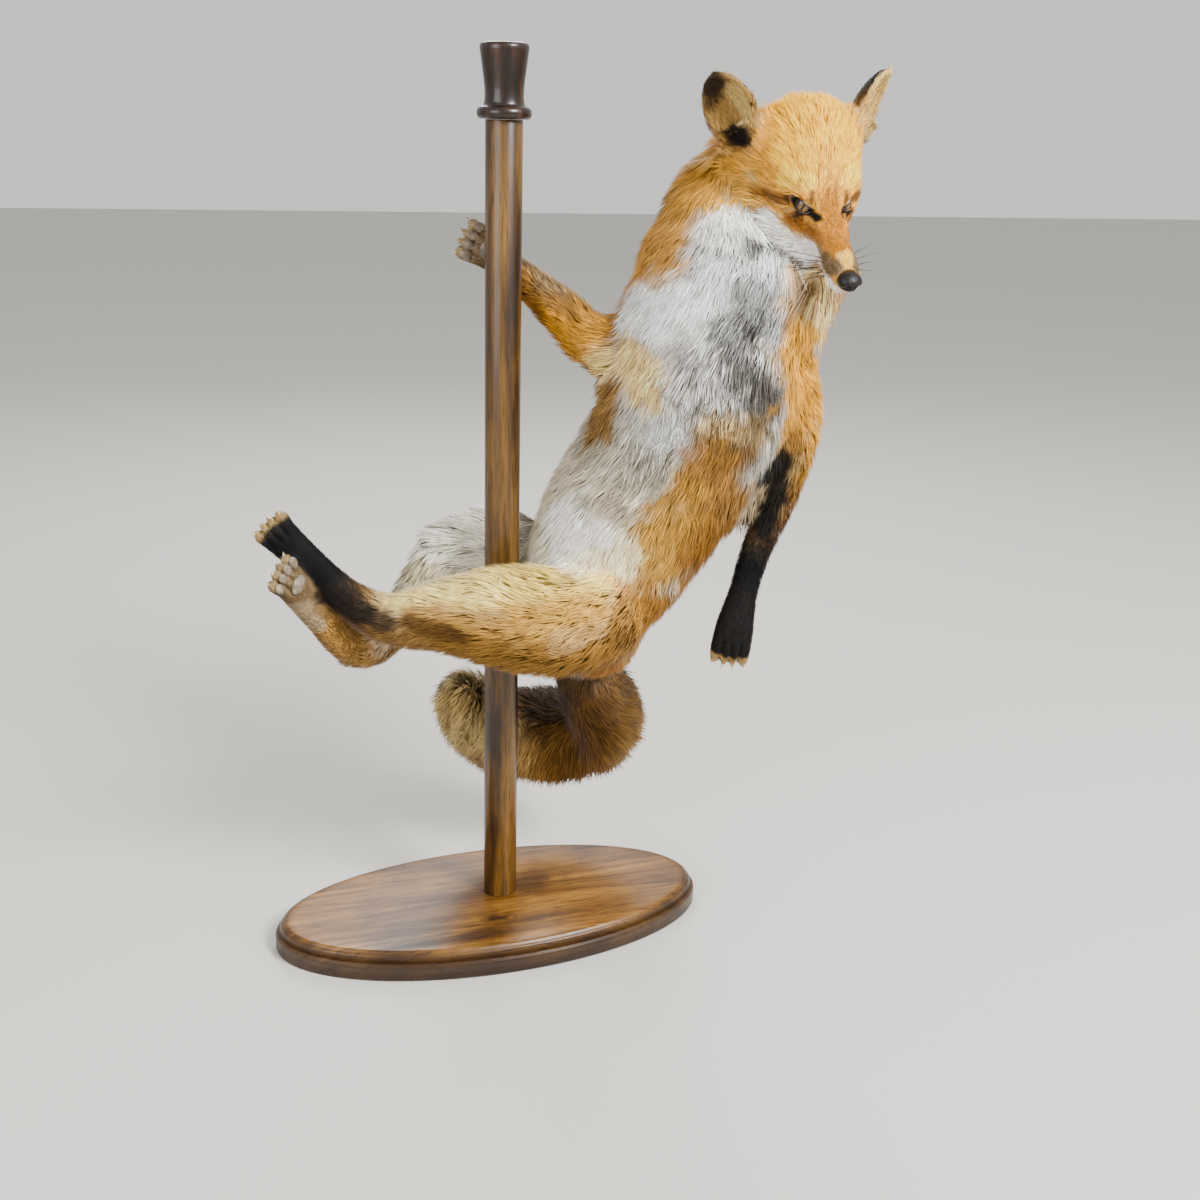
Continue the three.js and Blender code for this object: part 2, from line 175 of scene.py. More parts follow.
# name, where it stands, what it faces, size and watts
SOFTBOXES = [
    ("key", (1.3, -2.0, 2.3), (0.1, 0.0, 0.5), 1.0, 215),
    ("fill", (-2.2, -1.5, 1.3), (0.0, 0.0, 0.4), 1.6, 56),
    ("rim", (0.4, 1.9, 1.9), (0.1, 0.0, 0.6), 0.9, 42),
]
for name, place, target, size, watts in SOFTBOXES:
    light = bpy.data.lights.new(name, "AREA")
    light.size = size
    light.energy = watts
    lamp = bpy.data.objects.new(name, light)
    aim = Vector(target) - Vector(place)
    lamp.matrix_world = Matrix.Translation(place) @ aim.to_track_quat("-Z", "Y").to_matrix().to_4x4()
    bpy.context.collection.objects.link(lamp)

# ---------------------------------------------------------------- base board
# An oval board of solid hardwood, its edge routed to a small step and a cove, stained
# golden brown with the routed edge left darker, under satin varnish.
BASE_HALF_LENGTH = 212
BASE_HALF_WIDTH = 100
BASE_EDGE = [
    (2.0, 0), (0.6, 0.5), (0, 1.8), (0, 13.6), (0.5, 14.9), (1.6, 15.8), (3.4, 16.2),
    (3.7, 17.4), (4.0, 19.4), (4.9, 21.8), (6.4, 24.1), (8.4, 25.7), (10.2, 26.4), (12, 26.6),
]  # inset from the edge, height


def oval_outline(inset, height):
    scale = Matrix.Diagonal(
        ((BASE_HALF_LENGTH - inset) * MM, (BASE_HALF_WIDTH - inset) * MM, 1, 1)
    )
    return Matrix.Translation((0, 0, height * MM)) @ scale


bm = bmesh.new()
first = bmesh.ops.create_circle(
    bm, cap_ends=True, segments=144, radius=1, matrix=oval_outline(*BASE_EDGE[0])
)
bottom = bm.faces[:][0]
top = bottom
for (inset, height), (next_inset, next_height) in zip(BASE_EDGE, BASE_EDGE[1:]):
    raised = bmesh.ops.extrude_face_region(bm, geom=[top], use_keep_orig=(top == bottom))
    verts = [v for v in raised["geom"] if isinstance(v, bmesh.types.BMVert)]
    step = oval_outline(next_inset, next_height) @ oval_outline(inset, height).inverted()
    bmesh.ops.transform(bm, matrix=step, verts=verts)
    top = [f for f in raised["geom"] if isinstance(f, bmesh.types.BMFace)][0]
bmesh.ops.inset_region(bm, faces=[top], thickness=6 * MM)
bmesh.ops.recalc_face_normals(bm, faces=bm.faces)

oak_stain, tree, shader = start_material("golden_stained_hardwood")
place = add_node(tree, "ShaderNodeTexCoord").outputs["Object"]
# grain bands 8 to 15 mm apart run the length of the board
bands, stain = noise_colors(
    tree, place, [(0.3, "40280C"), (0.45, "684415"), (0.58, "885D22"), (0.75, "9E7232")],
    stretch=(5, 80, 60), Scale=1.0, Detail=7.0, Roughness=0.62, Distortion=0.5,
)
# open pores are streaks under a millimetre wide, drawn a little coarse so that they show
pores, pore_shade = noise_colors(
    tree, place, [(0.32, "7A6A58"), (0.46, "FFFFFF")],
    stretch=(60, 900, 400), Scale=1.0, Detail=2.0,
)
wood = add_node(tree, "ShaderNodeMix", {0: 0.8, 6: stain, 7: pore_shade}, **MULTIPLY).outputs[2]
# blotches of darker stain, a hand's breadth apart
_, blotch_shade = noise_colors(
    tree, place, [(0.38, "8A7A68"), (0.6, "FFFFFF")], Scale=13.0, Detail=3.0
)
wood = add_node(tree, "ShaderNodeMix", {0: 0.75, 6: wood, 7: blotch_shade}, **MULTIPLY).outputs[2]
# knots and short cracks: centre x, y, half length and half width in metres, how dark
KNOTS = [
    (-0.004, -0.044, 0.020, 0.0075, 0.85),
    (-0.062, -0.058, 0.012, 0.0022, 0.7),
    (-0.034, -0.052, 0.010, 0.0018, 0.7),
    (-0.044, -0.068, 0.010, 0.0020, 0.7),
    (0.030, -0.060, 0.050, 0.0100, 0.35),
]
wobble = add_node(tree, "ShaderNodeTexNoise", {"Vector": place, "Scale": 160.0, "Detail": 2.0})
for knot_x, knot_y, half_length, half_width, dark in KNOTS:
    shifted = add_node(
        tree,
        "ShaderNodeMapping",
        {"Vector": place, "Location": (-knot_x / half_length, -knot_y / half_width, 0),
         "Scale": (1 / half_length, 1 / half_width, 0)},
    )
    reach = add_node(tree, "ShaderNodeVectorMath", {0: shifted.outputs[0]}, operation="LENGTH")
    rough_reach = add_node(
        tree,
        "ShaderNodeMath",
        {0: wobble.outputs["Fac"], 1: 1.2, 2: reach.outputs["Value"]},
        operation="MULTIPLY_ADD",
    )
    spot = add_node(
        tree,
        "ShaderNodeMapRange",
        {"Value": rough_reach.outputs[0], "From Min": 0.9, "From Max": 1.8, "To Min": dark, "To Max": 0.0},
    )
    wood = add_node(
        tree, "ShaderNodeMix", {0: spot.outputs[0], 6: wood, 7: hex_color("1E120A")}, **OVER
    ).outputs[2]
# the routed edge keeps more stain
edge_at = add_node(
    tree,
    "ShaderNodeMapping",
    {"Vector": place, "Scale": (1000 / BASE_HALF_LENGTH, 1000 / BASE_HALF_WIDTH, 0)},
)
edge_reach = add_node(tree, "ShaderNodeVectorMath", {0: edge_at.outputs[0]}, operation="LENGTH")
edge_mask = add_node(
    tree,
    "ShaderNodeMapRange",
    {"Value": edge_reach.outputs["Value"], "From Min": 0.915, "From Max": 0.975,
     "To Min": 0.0, "To Max": 0.8},
    interpolation_type="SMOOTHSTEP",
)
wood = add_node(
    tree, "ShaderNodeMix", {0: edge_mask.outputs[0], 6: wood, 7: hex_color("241509")}, **OVER
).outputs[2]
relief = add_node(
    tree, "ShaderNodeBump", {"Strength": 0.25, "Distance": 0.0006, "Height": pores}
)
gloss = add_node(
    tree,
    "ShaderNodeMapRange",
    {"Value": bands, "From Min": 0.3, "From Max": 0.7, "To Min": 0.42, "To Max": 0.3},
)
set_inputs(
    shader,
    {"Base Color": wood, "Roughness": gloss.outputs[0], "Normal": relief.outputs[0],
     "Coat Weight": 0.12, "Coat Roughness": 0.22, "Specular IOR Level": 0.3},
)
base = make_object("base_board_wood", bm, oak_stain)
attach(base, "root")
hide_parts("base_board")

# ---------------------------------------------------------------- pole
# A straight hardwood dowel, 32 mm thick, screwed and glued to the board from below and
# stained mid brown, with darker streaks where the stain has run along the grain.
POLE_X = 9.6
POLE_Y = 7.7
POLE_RADIUS = 15.9
POLE_BOTTOM = 26.9
POLE_TOP = 755.5
bm = bmesh.new()
bmesh.ops.create_cone(
    bm,
    cap_ends=True,
    segments=72,
    radius1=POLE_RADIUS * MM,
    radius2=POLE_RADIUS * MM,
    depth=(POLE_TOP - POLE_BOTTOM) * MM,
    matrix=Matrix.Translation((POLE_X * MM, POLE_Y * MM, (POLE_TOP + POLE_BOTTOM) / 2 * MM)),
)
caps = [e for e in bm.edges if abs(e.verts[0].co.z - e.verts[1].co.z) < 1e-6]
bmesh.ops.bevel(
    bm, geom=caps, offset=0.6 * MM, segments=2, profile=0.5, affect="EDGES", material=-1
)

pole_stain, tree, shader = start_material("brown_stained_dowel")
place = add_node(tree, "ShaderNodeTexCoord").outputs["Object"]
# grain bands 9 mm apart and fine pores run up the pole
_, stain = noise_colors(
    tree, place, [(0.28, "261707"), (0.44, "472F0F"), (0.58, "604216"), (0.74, "775421")],
    stretch=(110, 110, 5), Scale=1.0, Detail=6.0, Roughness=0.6, Distortion=0.3,
)
pores, pore_shade = noise_colors(
    tree, place, [(0.3, "6A5A48"), (0.45, "FFFFFF")],
    stretch=(900, 900, 40), Scale=1.0, Detail=2.0,
)
wood = add_node(tree, "ShaderNodeMix", {0: 0.8, 6: stain, 7: pore_shade}, **MULTIPLY).outputs[2]
# runs of dark stain, a hand's breadth long
_, run_shade = noise_colors(
    tree, place, [(0.36, "6B5A4A"), (0.52, "FFFFFF")],
    stretch=(40, 40, 7), Scale=1.0, Detail=4.0,
)
wood = add_node(tree, "ShaderNodeMix", {0: 0.9, 6: wood, 7: run_shade}, **MULTIPLY).outputs[2]
relief = add_node(
    tree, "ShaderNodeBump", {"Strength": 0.25, "Distance": 0.0005, "Height": pores}
)
set_inputs(
    shader,
    {"Base Color": wood, "Roughness": 0.38, "Normal": relief.outputs[0],
     "Coat Weight": 0.2, "Coat Roughness": 0.2, "Specular IOR Level": 0.3},
)
pole = make_object("pole_wood", bm, pole_stain)
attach(pole, "root")
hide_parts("pole")

# ---------------------------------------------------------------- pole cap
# A turned finial glued on the pole: a rounded flange, a waist and a flaring top, stained
# nearly black with some red brown showing, and glossier than the rest.
CAP_PROFILE = [
    (0, 0), (19.5, 0), (21.6, 0.7), (22.8, 2.4), (23.2, 5.0), (22.7, 7.6), (21.2, 9.3),
    (18.6, 10.2), (17.4, 11.2), (16.8, 13.5), (16.4, 18), (16.6, 24), (17.4, 32), (18.8, 42),
    (19.9, 50), (20.5, 54), (20.7, 56.4), (20.2, 58.3), (18.8, 59.5), (16.5, 60), (0, 60),
]  # radius, height above the pole
bm = bmesh.new()
rim = [
    bm.verts.new(((POLE_X + r) * MM, POLE_Y * MM, (POLE_TOP + 0.3 + h) * MM))
    for r, h in CAP_PROFILE
]
edges = [bm.edges.new(pair) for pair in zip(rim, rim[1:])]
bmesh.ops.spin(
    bm,
    geom=rim + edges,
    cent=(POLE_X * MM, POLE_Y * MM, 0),
    axis=(0, 0, 1),
    angle=2 * math.pi,
    steps=72,
    use_merge=True,
)
bmesh.ops.remove_doubles(bm, verts=bm.verts, dist=1e-6)
bmesh.ops.recalc_face_normals(bm, faces=bm.faces)

cap_stain, tree, shader = start_material("black_stained_turning")
place = add_node(tree, "ShaderNodeTexCoord").outputs["Object"]
# grain bands 6 mm apart
bands, stain = noise_colors(
    tree, place, [(0.35, "110904"), (0.55, "22130A"), (0.72, "402212")],
    stretch=(160, 160, 22), Scale=1.0, Detail=5.0,
)
relief = add_node(
    tree, "ShaderNodeBump", {"Strength": 0.2, "Distance": 0.0004, "Height": bands}
)
set_inputs(
    shader,
    {"Base Color": stain, "Roughness": 0.36, "Normal": relief.outputs[0],
     "Coat Weight": 0.25, "Coat Roughness": 0.15, "Specular IOR Level": 0.3},
)
cap = make_object("pole_cap_wood", bm, cap_stain)
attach(cap, "root")
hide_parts("pole_cap")


# ---------------------------------------------------------------- lines of the body
# What lies under a hide: a line down the neck and trunk, the head, each leg and the tail.
# Each station is x, y, z, the radius out to the tips of the coat and how deep the coat
# is. They say where the coat lies along, how deep it is and which part a point is on.
HEAD_AT = Vector((265, -79, 693))
HEAD_TURN = Euler((math.radians(4), math.radians(38.5), math.radians(-83.5)), "XYZ").to_matrix()
head_axes = np.array(HEAD_TURN)


def from_head(points):
    return np.asarray(points, float) @ head_axes.T + np.array(HEAD_AT)


def to_head(points):
    return (points - np.array(HEAD_AT)) @ head_axes


def head_rows(rows):
    rows = np.array(rows, float)
    rows[:, :3] = from_head(rows[:, :3])
    return rows


LINES = {
    "trunk": [
        (250, -10, 724, 53, 12), (238, -7, 690, 65, 15), (226, -20, 645, 80, 18),
        (198, -29, 583, 82, 18), (180, -29, 523, 82, 16), (157, -21, 462, 78, 14),
        (124, -10, 403, 74, 12), (98, -6, 343, 66, 11), (92, -4, 291, 48, 11),
    ],
    "head": head_rows([
        (84, 0, -18, 6, 0.6), (70, 0, -20, 13, 1.0), (50, 0, -20, 17, 1.2),
        (30, 0, -20, 21, 1.5), (12, 0, -16, 29, 2.0), (-8, 0, -9, 42, 3.5),
        (-34, 0, -3, 53, 7), (-62, 0, 1, 52, 11), (-90, 0, 2, 34, 12),
    ]),
    "ear_left": head_rows([(-64, 54, 17, 25, 4), (-81, 71, 44, 20, 0.8), (-95, 85, 64, 8, 0.6)]),
    "ear_right": head_rows([(-64, -54, 17, 25, 4), (-81, -71, 44, 20, 0.8), (-95, -85, 64, 8, 0.6)]),
    "arm_left": [
        (253, -50, 585, 28, 10), (267, -52, 533, 28, 9), (272, -52, 483, 23.5, 8),
        (254, -56, 430, 20.5, 6), (233, -63, 386, 16.5, 3.5), (220, -69, 348, 14.5, 2),
        (212, -73, 318, 17, 1.4), (208, -75, 296, 16, 1), (205, -76, 280, 14, 1),
    ],
    "arm_right": [
        (158, -20, 580, 31, 10), (124, -4, 568, 32, 10), (98, 8, 569, 28, 8),
        (75, 20, 587, 22, 7), (50, 32, 611, 18, 5), (26, 41, 629, 15, 3),
        (6, 43, 646, 15, 1.4), (-6, 42, 652, 15, 1), (-22, 41, 661, 12, 1),
    ],
    "leg_left": [
        (98, -50, 336, 47, 12), (54, -55, 330, 50, 12), (4, -52, 335, 47, 11),
        (-50, -31, 334, 34, 8), (-89, -10, 327, 26, 6), (-114, 1, 332, 21, 4),
        (-144, 6, 358, 15, 2), (-173, 13, 387, 15, 1.4), (-190, 18, 405, 15, 1),
        (-203, 22, 418, 12, 1),
    ],
    "leg_right": [
        (94, 18, 331, 43, 13), (39, 58, 351, 46, 15), (-18, 74, 362, 38, 13),
        (-62, 61, 320, 24, 7), (-97, 42, 287, 19, 5), (-122, 36, 283, 18, 4),
        (-152, 21, 320, 16, 3), (-174, 2, 353, 15, 1.5), (-189, -13, 374, 14, 1),
        (-201, -25, 391, 12, 1),
    ],
    "tail": [
        (84, 11, 276, 30, 10), (108, 36, 229, 39, 17), (134, 71, 171, 46, 22),
        (121, 104, 141, 47, 23), (86, 123, 134, 47, 23), (45, 123, 148, 46, 23),
        (12, 106, 176, 41, 21), (-10, 82, 206, 30, 16),
    ],
}
PER_SPAN = 6
AT_ONCE = 20000  # points compared with a line in one go


def through(rows):
    """Values on a smooth curve through the rows, PER_SPAN of them to each span."""
    rows = np.array(rows, float)
    ends = np.vstack([2 * rows[0] - rows[1], rows, 2 * rows[-1] - rows[-2]])
    out = []
    for i in range(len(rows) - 1):
        a, b, c, d = ends[i : i + 4]
        for t in np.arange(PER_SPAN) / PER_SPAN:
            out.append(
                0.5 * (2 * b + (c - a) * t + (2 * a - 5 * b + 4 * c - d) * t**2
                       + (3 * b - a - 3 * c + d) * t**3)
            )
    out.append(rows[-1])
    return np.array(out)


def unit(vectors):
    return vectors / np.maximum(np.linalg.norm(vectors, axis=-1, keepdims=True), 1e-9)


line_names = list(LINES)
curves = []
for name in line_names:
    samples = through(LINES[name])
    heading = unit(np.gradient(samples[:, :3], axis=0))
    curves.append((samples[:, :3], samples[:, 3], samples[:, 4], heading))


def place_on_lines(points):
    """For each point: how much it belongs to each line, and its nearest station there."""
    share = np.zeros((len(points), len(curves)))
    station = np.zeros((len(points), len(curves)), int)
    for k, (centres, radii, _, _) in enumerate(curves):
        for start in range(0, len(points), AT_ONCE):
            part = slice(start, start + AT_ONCE)
            gap = np.linalg.norm(points[part, None] - centres[None], axis=2)
            ratio = gap / radii[None]
            best = ratio.argmin(axis=1)
            station[part, k] = best
            share[part, k] = np.exp(-5 * ratio[np.arange(len(best)), best] ** 2)
    share = np.maximum(share, 1e-12)
    return share / share.sum(axis=1, keepdims=True), station


def blend_lines(share, station, values):
    """Blends a value kept at each line's stations by how much a point belongs to it."""
    return sum(share[:, k, None] * values[k][station[:, k]] for k in range(len(curves)))


def smoothstep(low, high, value):
    t = np.clip((value - low) / (high - low), 0, 1)
    return t * t * (3 - 2 * t)


def mottle(points, size, seed):
    """Soft random patches about size millimetres across, from -1 to 1."""
    rng = np.random.default_rng(seed)
    waves = unit(rng.normal(size=(7, 3))) * rng.uniform(0.6, 1.6, (7, 1)) * math.pi / size
    return np.sin(points @ waves.T + rng.uniform(0, 6.28, 7)).mean(axis=1) * 2.2


# ---------------------------------------------------------------- lie of the toes
# Each foot ends in four toes that fan out from it. The hide, the claws and the pads all
# follow them.
# foot, the side of the paw, which way its sole is turned, how far the toes reach past it
FEET = [
    ("arm_left", (0.95, -0.3, 0), -1, 8), ("arm_right", (0, 0, 1), -1, 8),
    ("leg_left", (0, 0, 1), 1, 9), ("leg_right", (0, 0, 1), -1, 9),
]
TOE_SPREAD = 13
feet = []
for name, across, sole_sign, reach in FEET:
    # the two stations before the last are where the paw begins and where its toes start
    before, end = (np.array(row[:3], float) for row in LINES[name][-3:-1])
    along = unit(end - before)
    side = unit(np.array(across, float) - along * (np.array(across, float) @ along))
    sole = np.cross(along, side) * sole_sign
    toes = []
    for spread in (-1, -1 / 3, 1 / 3, 1):
        heading = unit(along + 0.2 * spread * side)
        forward = along * reach * (0.9 - 0.4 * abs(spread))
        toes.append((end + side * spread * TOE_SPREAD + forward, heading))
    feet.append((end, along, side, sole, toes))

# ---------------------------------------------------------------- markings
# Rusty orange along the back and sides, white and grey under the chin and down the
# belly, black on the ears' backs and the lower legs. Skin and coat share them.
# Each line has its colours away from and towards the side it shows its pale part on.
PALE_SIDE = {
    "trunk": [
        (-0.3, -0.9, 0), (-0.35, -0.9, 0.1), (-0.35, -0.9, 0.15), (-0.35, -0.9, 0.15),
        (-0.4, -0.88, 0.2), (-0.6, -0.76, 0.2), (-0.75, -0.6, 0.25), (-0.85, -0.4, 0.3),
        (-0.85, -0.4, 0.3),
    ],
    "head": [tuple(-head_axes[:, 2])] * 9,
    "ear_left": [tuple(head_axes @ np.array([0.62, 0.5, 0.4]))] * 3,
    "ear_right": [tuple(head_axes @ np.array([0.62, -0.5, 0.4]))] * 3,
    "arm_left": [(-0.9, -0.4, 0)] * 9,
    "arm_right": [(0.1, -0.7, -0.7)] * 9,
    "leg_left": [(-0.1, -0.1, 1)] * 10,
    "leg_right": [(-0.2, -0.6, 0.7)] * 10,
    "tail": [(-0.5, -0.8, 0)] * 8,
}
BACK_COLORS = {
    "trunk": "C2925A C0884A B8803F AA7438 9A6A36 946434 A2733F AD7D48 A87A48".split(),
    "head": "C4945A C8945A C48C50 C2864A CA9254 D69C5A DA9E5C CF965A C2925A".split(),
    "ear_left": "B98C54 2A211B 1E1815".split(),
    "ear_right": "B98C54 2A211B 1E1815".split(),
    "arm_left": "C79A5C D7A15C C08C4A 6A4A2B 221B17 1E1A18 1C1917 1C1917 2A2521".split(),
    "arm_right": "9A7145 94704A 8D7557 84694A 7A6146 6A533C 6B5A47 8A765C 9E8A6C".split(),
    "leg_left": "A9804C A17A48 936F42 8F6E44 8A6A44 5E4630 15110F 120F0D 1A1613 6E6350".split(),
    "leg_right": "B08550 AC8350 A07A4A 9A7447 A5835A A6855C 8E7149 7D664A 75644E 857258".split(),
    # the tail's browns, darkest towards its root, are its own colour darkened with painted shade
    "tail": "5E4423 6A4C2A 785730 806038 8A6A42 A08660 BCA67E C6B084".split(),
}
PALE_COLORS = {
    "trunk": "D2B07A D5CDBE C6C6C3 BDBAB5 B9B4AB BDB5A4 D6CAB2 F4EEDD E8DCC0".split(),
    "head": "C9C6BF DCDAD4 DCDAD4 D8D6CF D8D5CC D3D0C6 CFCabe C9BFAE C9A36C".split(),
    "ear_left": "CBA877 C6A472 D9BB8D".split(),
    "ear_right": "B08C5C A98858 BE9F70".split(),
    "arm_left": "D3CBBA CDBFA6 B79E78 8A6F50 262019 1F1B19 1D1A18 1D1A18 2A2521".split(),
    "arm_right": "C9AE86 BE9D71 B98A4C B68342 A87A45 8D6D48 77634B 93806A A8957A".split(),
    "leg_left": "D3B688 DABD87 E0C798 E3CFAD CDB48C 8A7150 1A1512 15110F 1A1613 6E6350".split(),
    "leg_right": "E6DFCE DCD5C5 D6CDBB CFC2A8 BFA98A A88B66 A7875F 8D7658 8A775C 97846A".split(),
    # the tail's pale side is darkened with painted shade too
    "tail": "6A4C2A 785830 86643A 846238 8C6A42 A88C62 C6AE82 D0BC90".split(),
}
# how unlike each other neighbouring tufts are, from even to pepper and salt
TICKING = {
    "trunk": (0.19, 0.26, 0.3, 0.34, 0.34, 0.3, 0.22, 0.12, 0.16),
    "head": (0.2, 0.28, 0.34, 0.38, 0.38, 0.38, 0.38, 0.34, 0.3),
    "ear_left": (0.23, 0.23, 0.23),
    "ear_right": (0.23, 0.23, 0.23),
    "arm_left": (0.31, 0.25, 0.28, 0.5, 0.5, 0.46, 0.46, 0.46, 0.46),
    "arm_right": (0.39, 0.34, 0.39, 0.46, 0.46, 0.46, 0.39, 0.31, 0.31),
    "leg_left": (0.19, 0.2, 0.23, 0.26, 0.28, 0.39, 0.5, 0.5, 0.46, 0.46),
    "leg_right": (0.23, 0.23, 0.25, 0.28, 0.31, 0.31, 0.39, 0.39, 0.39, 0.39),
    "tail": (0.31, 0.31, 0.34, 0.34, 0.31, 0.28, 0.23, 0.2),
}
# bands of colour laid over those: from, to, how wide to each side, colour, strength
TRUNK_MARKS = [
    # ginger side of the neck, and the pale cheek and throat in front of it, with a grey line of painted
    # shadow under the jaw
    ((180, -20, 722), (202, -50, 704), 20, "CE9C58", 0.95),
    ((166, -22, 706), (176, -40, 700), 20, "CE9C58", 0.95),
    ((150, -12, 695), (132, -34, 640), 34, "C08F50", 0.95),
    ((176, -62, 674), (246, -90, 652), 16, "F0EDE5", 0.97),
    ((176, -82, 640), (206, -94, 634), 20, "DEDEDC", 0.9),
    ((200, -80, 660), (224, -83, 652), 8, "6A6C6C", 0.6),
    ((196, -97, 619), (224, -99, 613), 18, "8E8D8B", 0.8),
    # tan ruff under the chin and painted shade in the fold below it
    ((256, -94, 622), (272, -86, 604), 26, "FFD6B6", 0.97),
    ((242, -98, 618), (240, -98, 610), 13, "BCA88F", 0.7),
    ((232, -102, 594), (258, -96, 590), 9, "8A6943", 0.75),
    # white shoulder
    ((112, -34, 604), (152, -83, 604), 26, "F6F5F1", 0.97),
    ((157, -83, 620), (165, -90, 596), 18, "F2F2EE", 0.95),
    # bib of grizzled grey, cream along its right edge
    ((187, -102, 588), (205, -104, 548), 27, "62615D", 0.9),
    ((216, -103, 540), (216, -103, 528), 20, "5E5A55", 0.9),
    ((146, -88, 576), (164, -97, 562), 17, "A4A19B", 0.75),
    ((210, -104, 580), (228, -103, 556), 9, "CDC6B7", 0.75),
    # tan brush below the bib, in the crook of the arm, with a painted shadow in the armpit under it
    ((166, -100, 505), (208, -102, 502), 19, "957C58", 0.9),
    ((176, -98, 488), (200, -100, 482), 14, "735536", 0.85),
    # pale strip beside it, cream and ginger flank
    ((126, -83, 518), (136, -88, 490), 19, "C4C3BE", 0.95),
    ((148, -94, 540), (150, -94, 528), 12, "9A958D", 0.7),
    ((104, -44, 568), (116, -67, 546), 22, "E8CAA2", 0.9),
    ((90, -24, 528), (84, -32, 494), 24, "8A693E", 0.95),
    # grey belly, golden along its near side, and white groin
    ((84, -48, 468), (120, -78, 464), 23, "B3AC9C", 0.9),
    ((66, -42, 438), (98, -68, 434), 22, "BBB09D", 0.85),
    ((166, -94, 466), (198, -82, 424), 31, "9E7441", 0.95),
    ((152, -80, 398), (188, -70, 386), 31, "9E6F3A", 0.95),
    ((150, -90, 446), (136, -80, 404), 22, "B48A4E", 0.9),
    ((122, -78, 410), (134, -74, 372), 20, "C89C5E", 0.9),
    ((52, -34, 410), (74, -60, 388), 29, "FFFBEF", 1.0),
    ((44, -69, 382), (96, -75, 382), 20, "FAE4C2", 0.9),
]
LIMB_MARKS = [
    # hanging arm: golden above with painted shade along one edge, black below with a tan fringe
    ((247, -96, 580), (262, -80, 505), 22, "D79E58", 0.95),
    ((258, -74, 492), (256, -72, 482), 13, "A87B45", 0.8),
    ((246, -66, 466), (234, -73, 417), 16, "17110C", 0.97),
    ((268, -74, 468), (262, -76, 446), 6, "866843", 0.6),
    ((232, -60, 444), (224, -62, 424), 8, "C7B493", 0.75),
    # raised arm
    ((92, -15, 549), (96, -12, 556), 14, "E3CBA0", 0.8),
    ((84, -10, 584), (72, 6, 598), 16, "B68342", 0.8),
    ((64, 6, 606), (46, 16, 616), 14, "86643C", 0.85),
    ((64, 17, 622), (50, 26, 628), 13, "8D7557", 0.8),
    # near hind leg: cream along its top, golden along its side, dark under the hock
    ((-96, -26, 353), (-14, -82, 368), 13, "FADCB2", 0.85),
    ((60, -88, 370), (86, -80, 372), 14, "F4D4A8", 0.85),
    ((0, -95, 342), (66, -95, 348), 19, "CFA266", 0.9),
    ((-84, -42, 338), (-4, -92, 336), 13, "B88F58", 0.85),
    ((-62, -60, 320), (-16, -86, 314), 13, "8C6A3C", 0.8),
    ((-88, -40, 333), (-48, -68, 327), 8, "5E4122", 0.85),
    ((34, -98, 322), (72, -98, 330), 13, "C2A173", 0.8),
    ((88, -93, 322), (96, -90, 318), 11, "80603A", 0.8),
    ((104, -88, 352), (118, -84, 344), 22, "B5854B", 0.8),
    ((-106, -24, 330), (-116, -18, 334), 10, "4A3B2C", 0.9),
    ((-122, -8, 338), (-150, -3, 352), 12, "241B14", 0.9),
    # far hind leg: pale inside of the thigh
    ((-52, 54, 378), (-10, 52, 400), 26, "EDE7D6", 0.9),
    ((-118, 30, 278), (-150, 14, 316), 12, "B98E58", 0.8),
    ((-162, 2, 322), (-180, -8, 346), 10, "B3A287", 0.7),
    ((-64, 44, 352), (-56, 50, 346), 16, "C6B797", 0.7),
    # tail: painted shade inside the curl and at its root behind the thigh, tan at its far end
    ((74, 60, 200), (84, 124, 180), 34, "3E270F", 0.9),
    ((84, 0, 250), (80, 14, 212), 26, "4C3418", 0.95),
    ((104, 0, 208), (98, 40, 160), 24, "6B4B29", 0.85),
    ((146, 44, 146), (158, 60, 168), 20, "97794E", 0.8),
    ((-16, 64, 224), (-18, 74, 196), 22, "A88C5E", 0.8),
    ((-32, 66, 196), (-30, 74, 182), 9, "7C6646", 0.5),
]
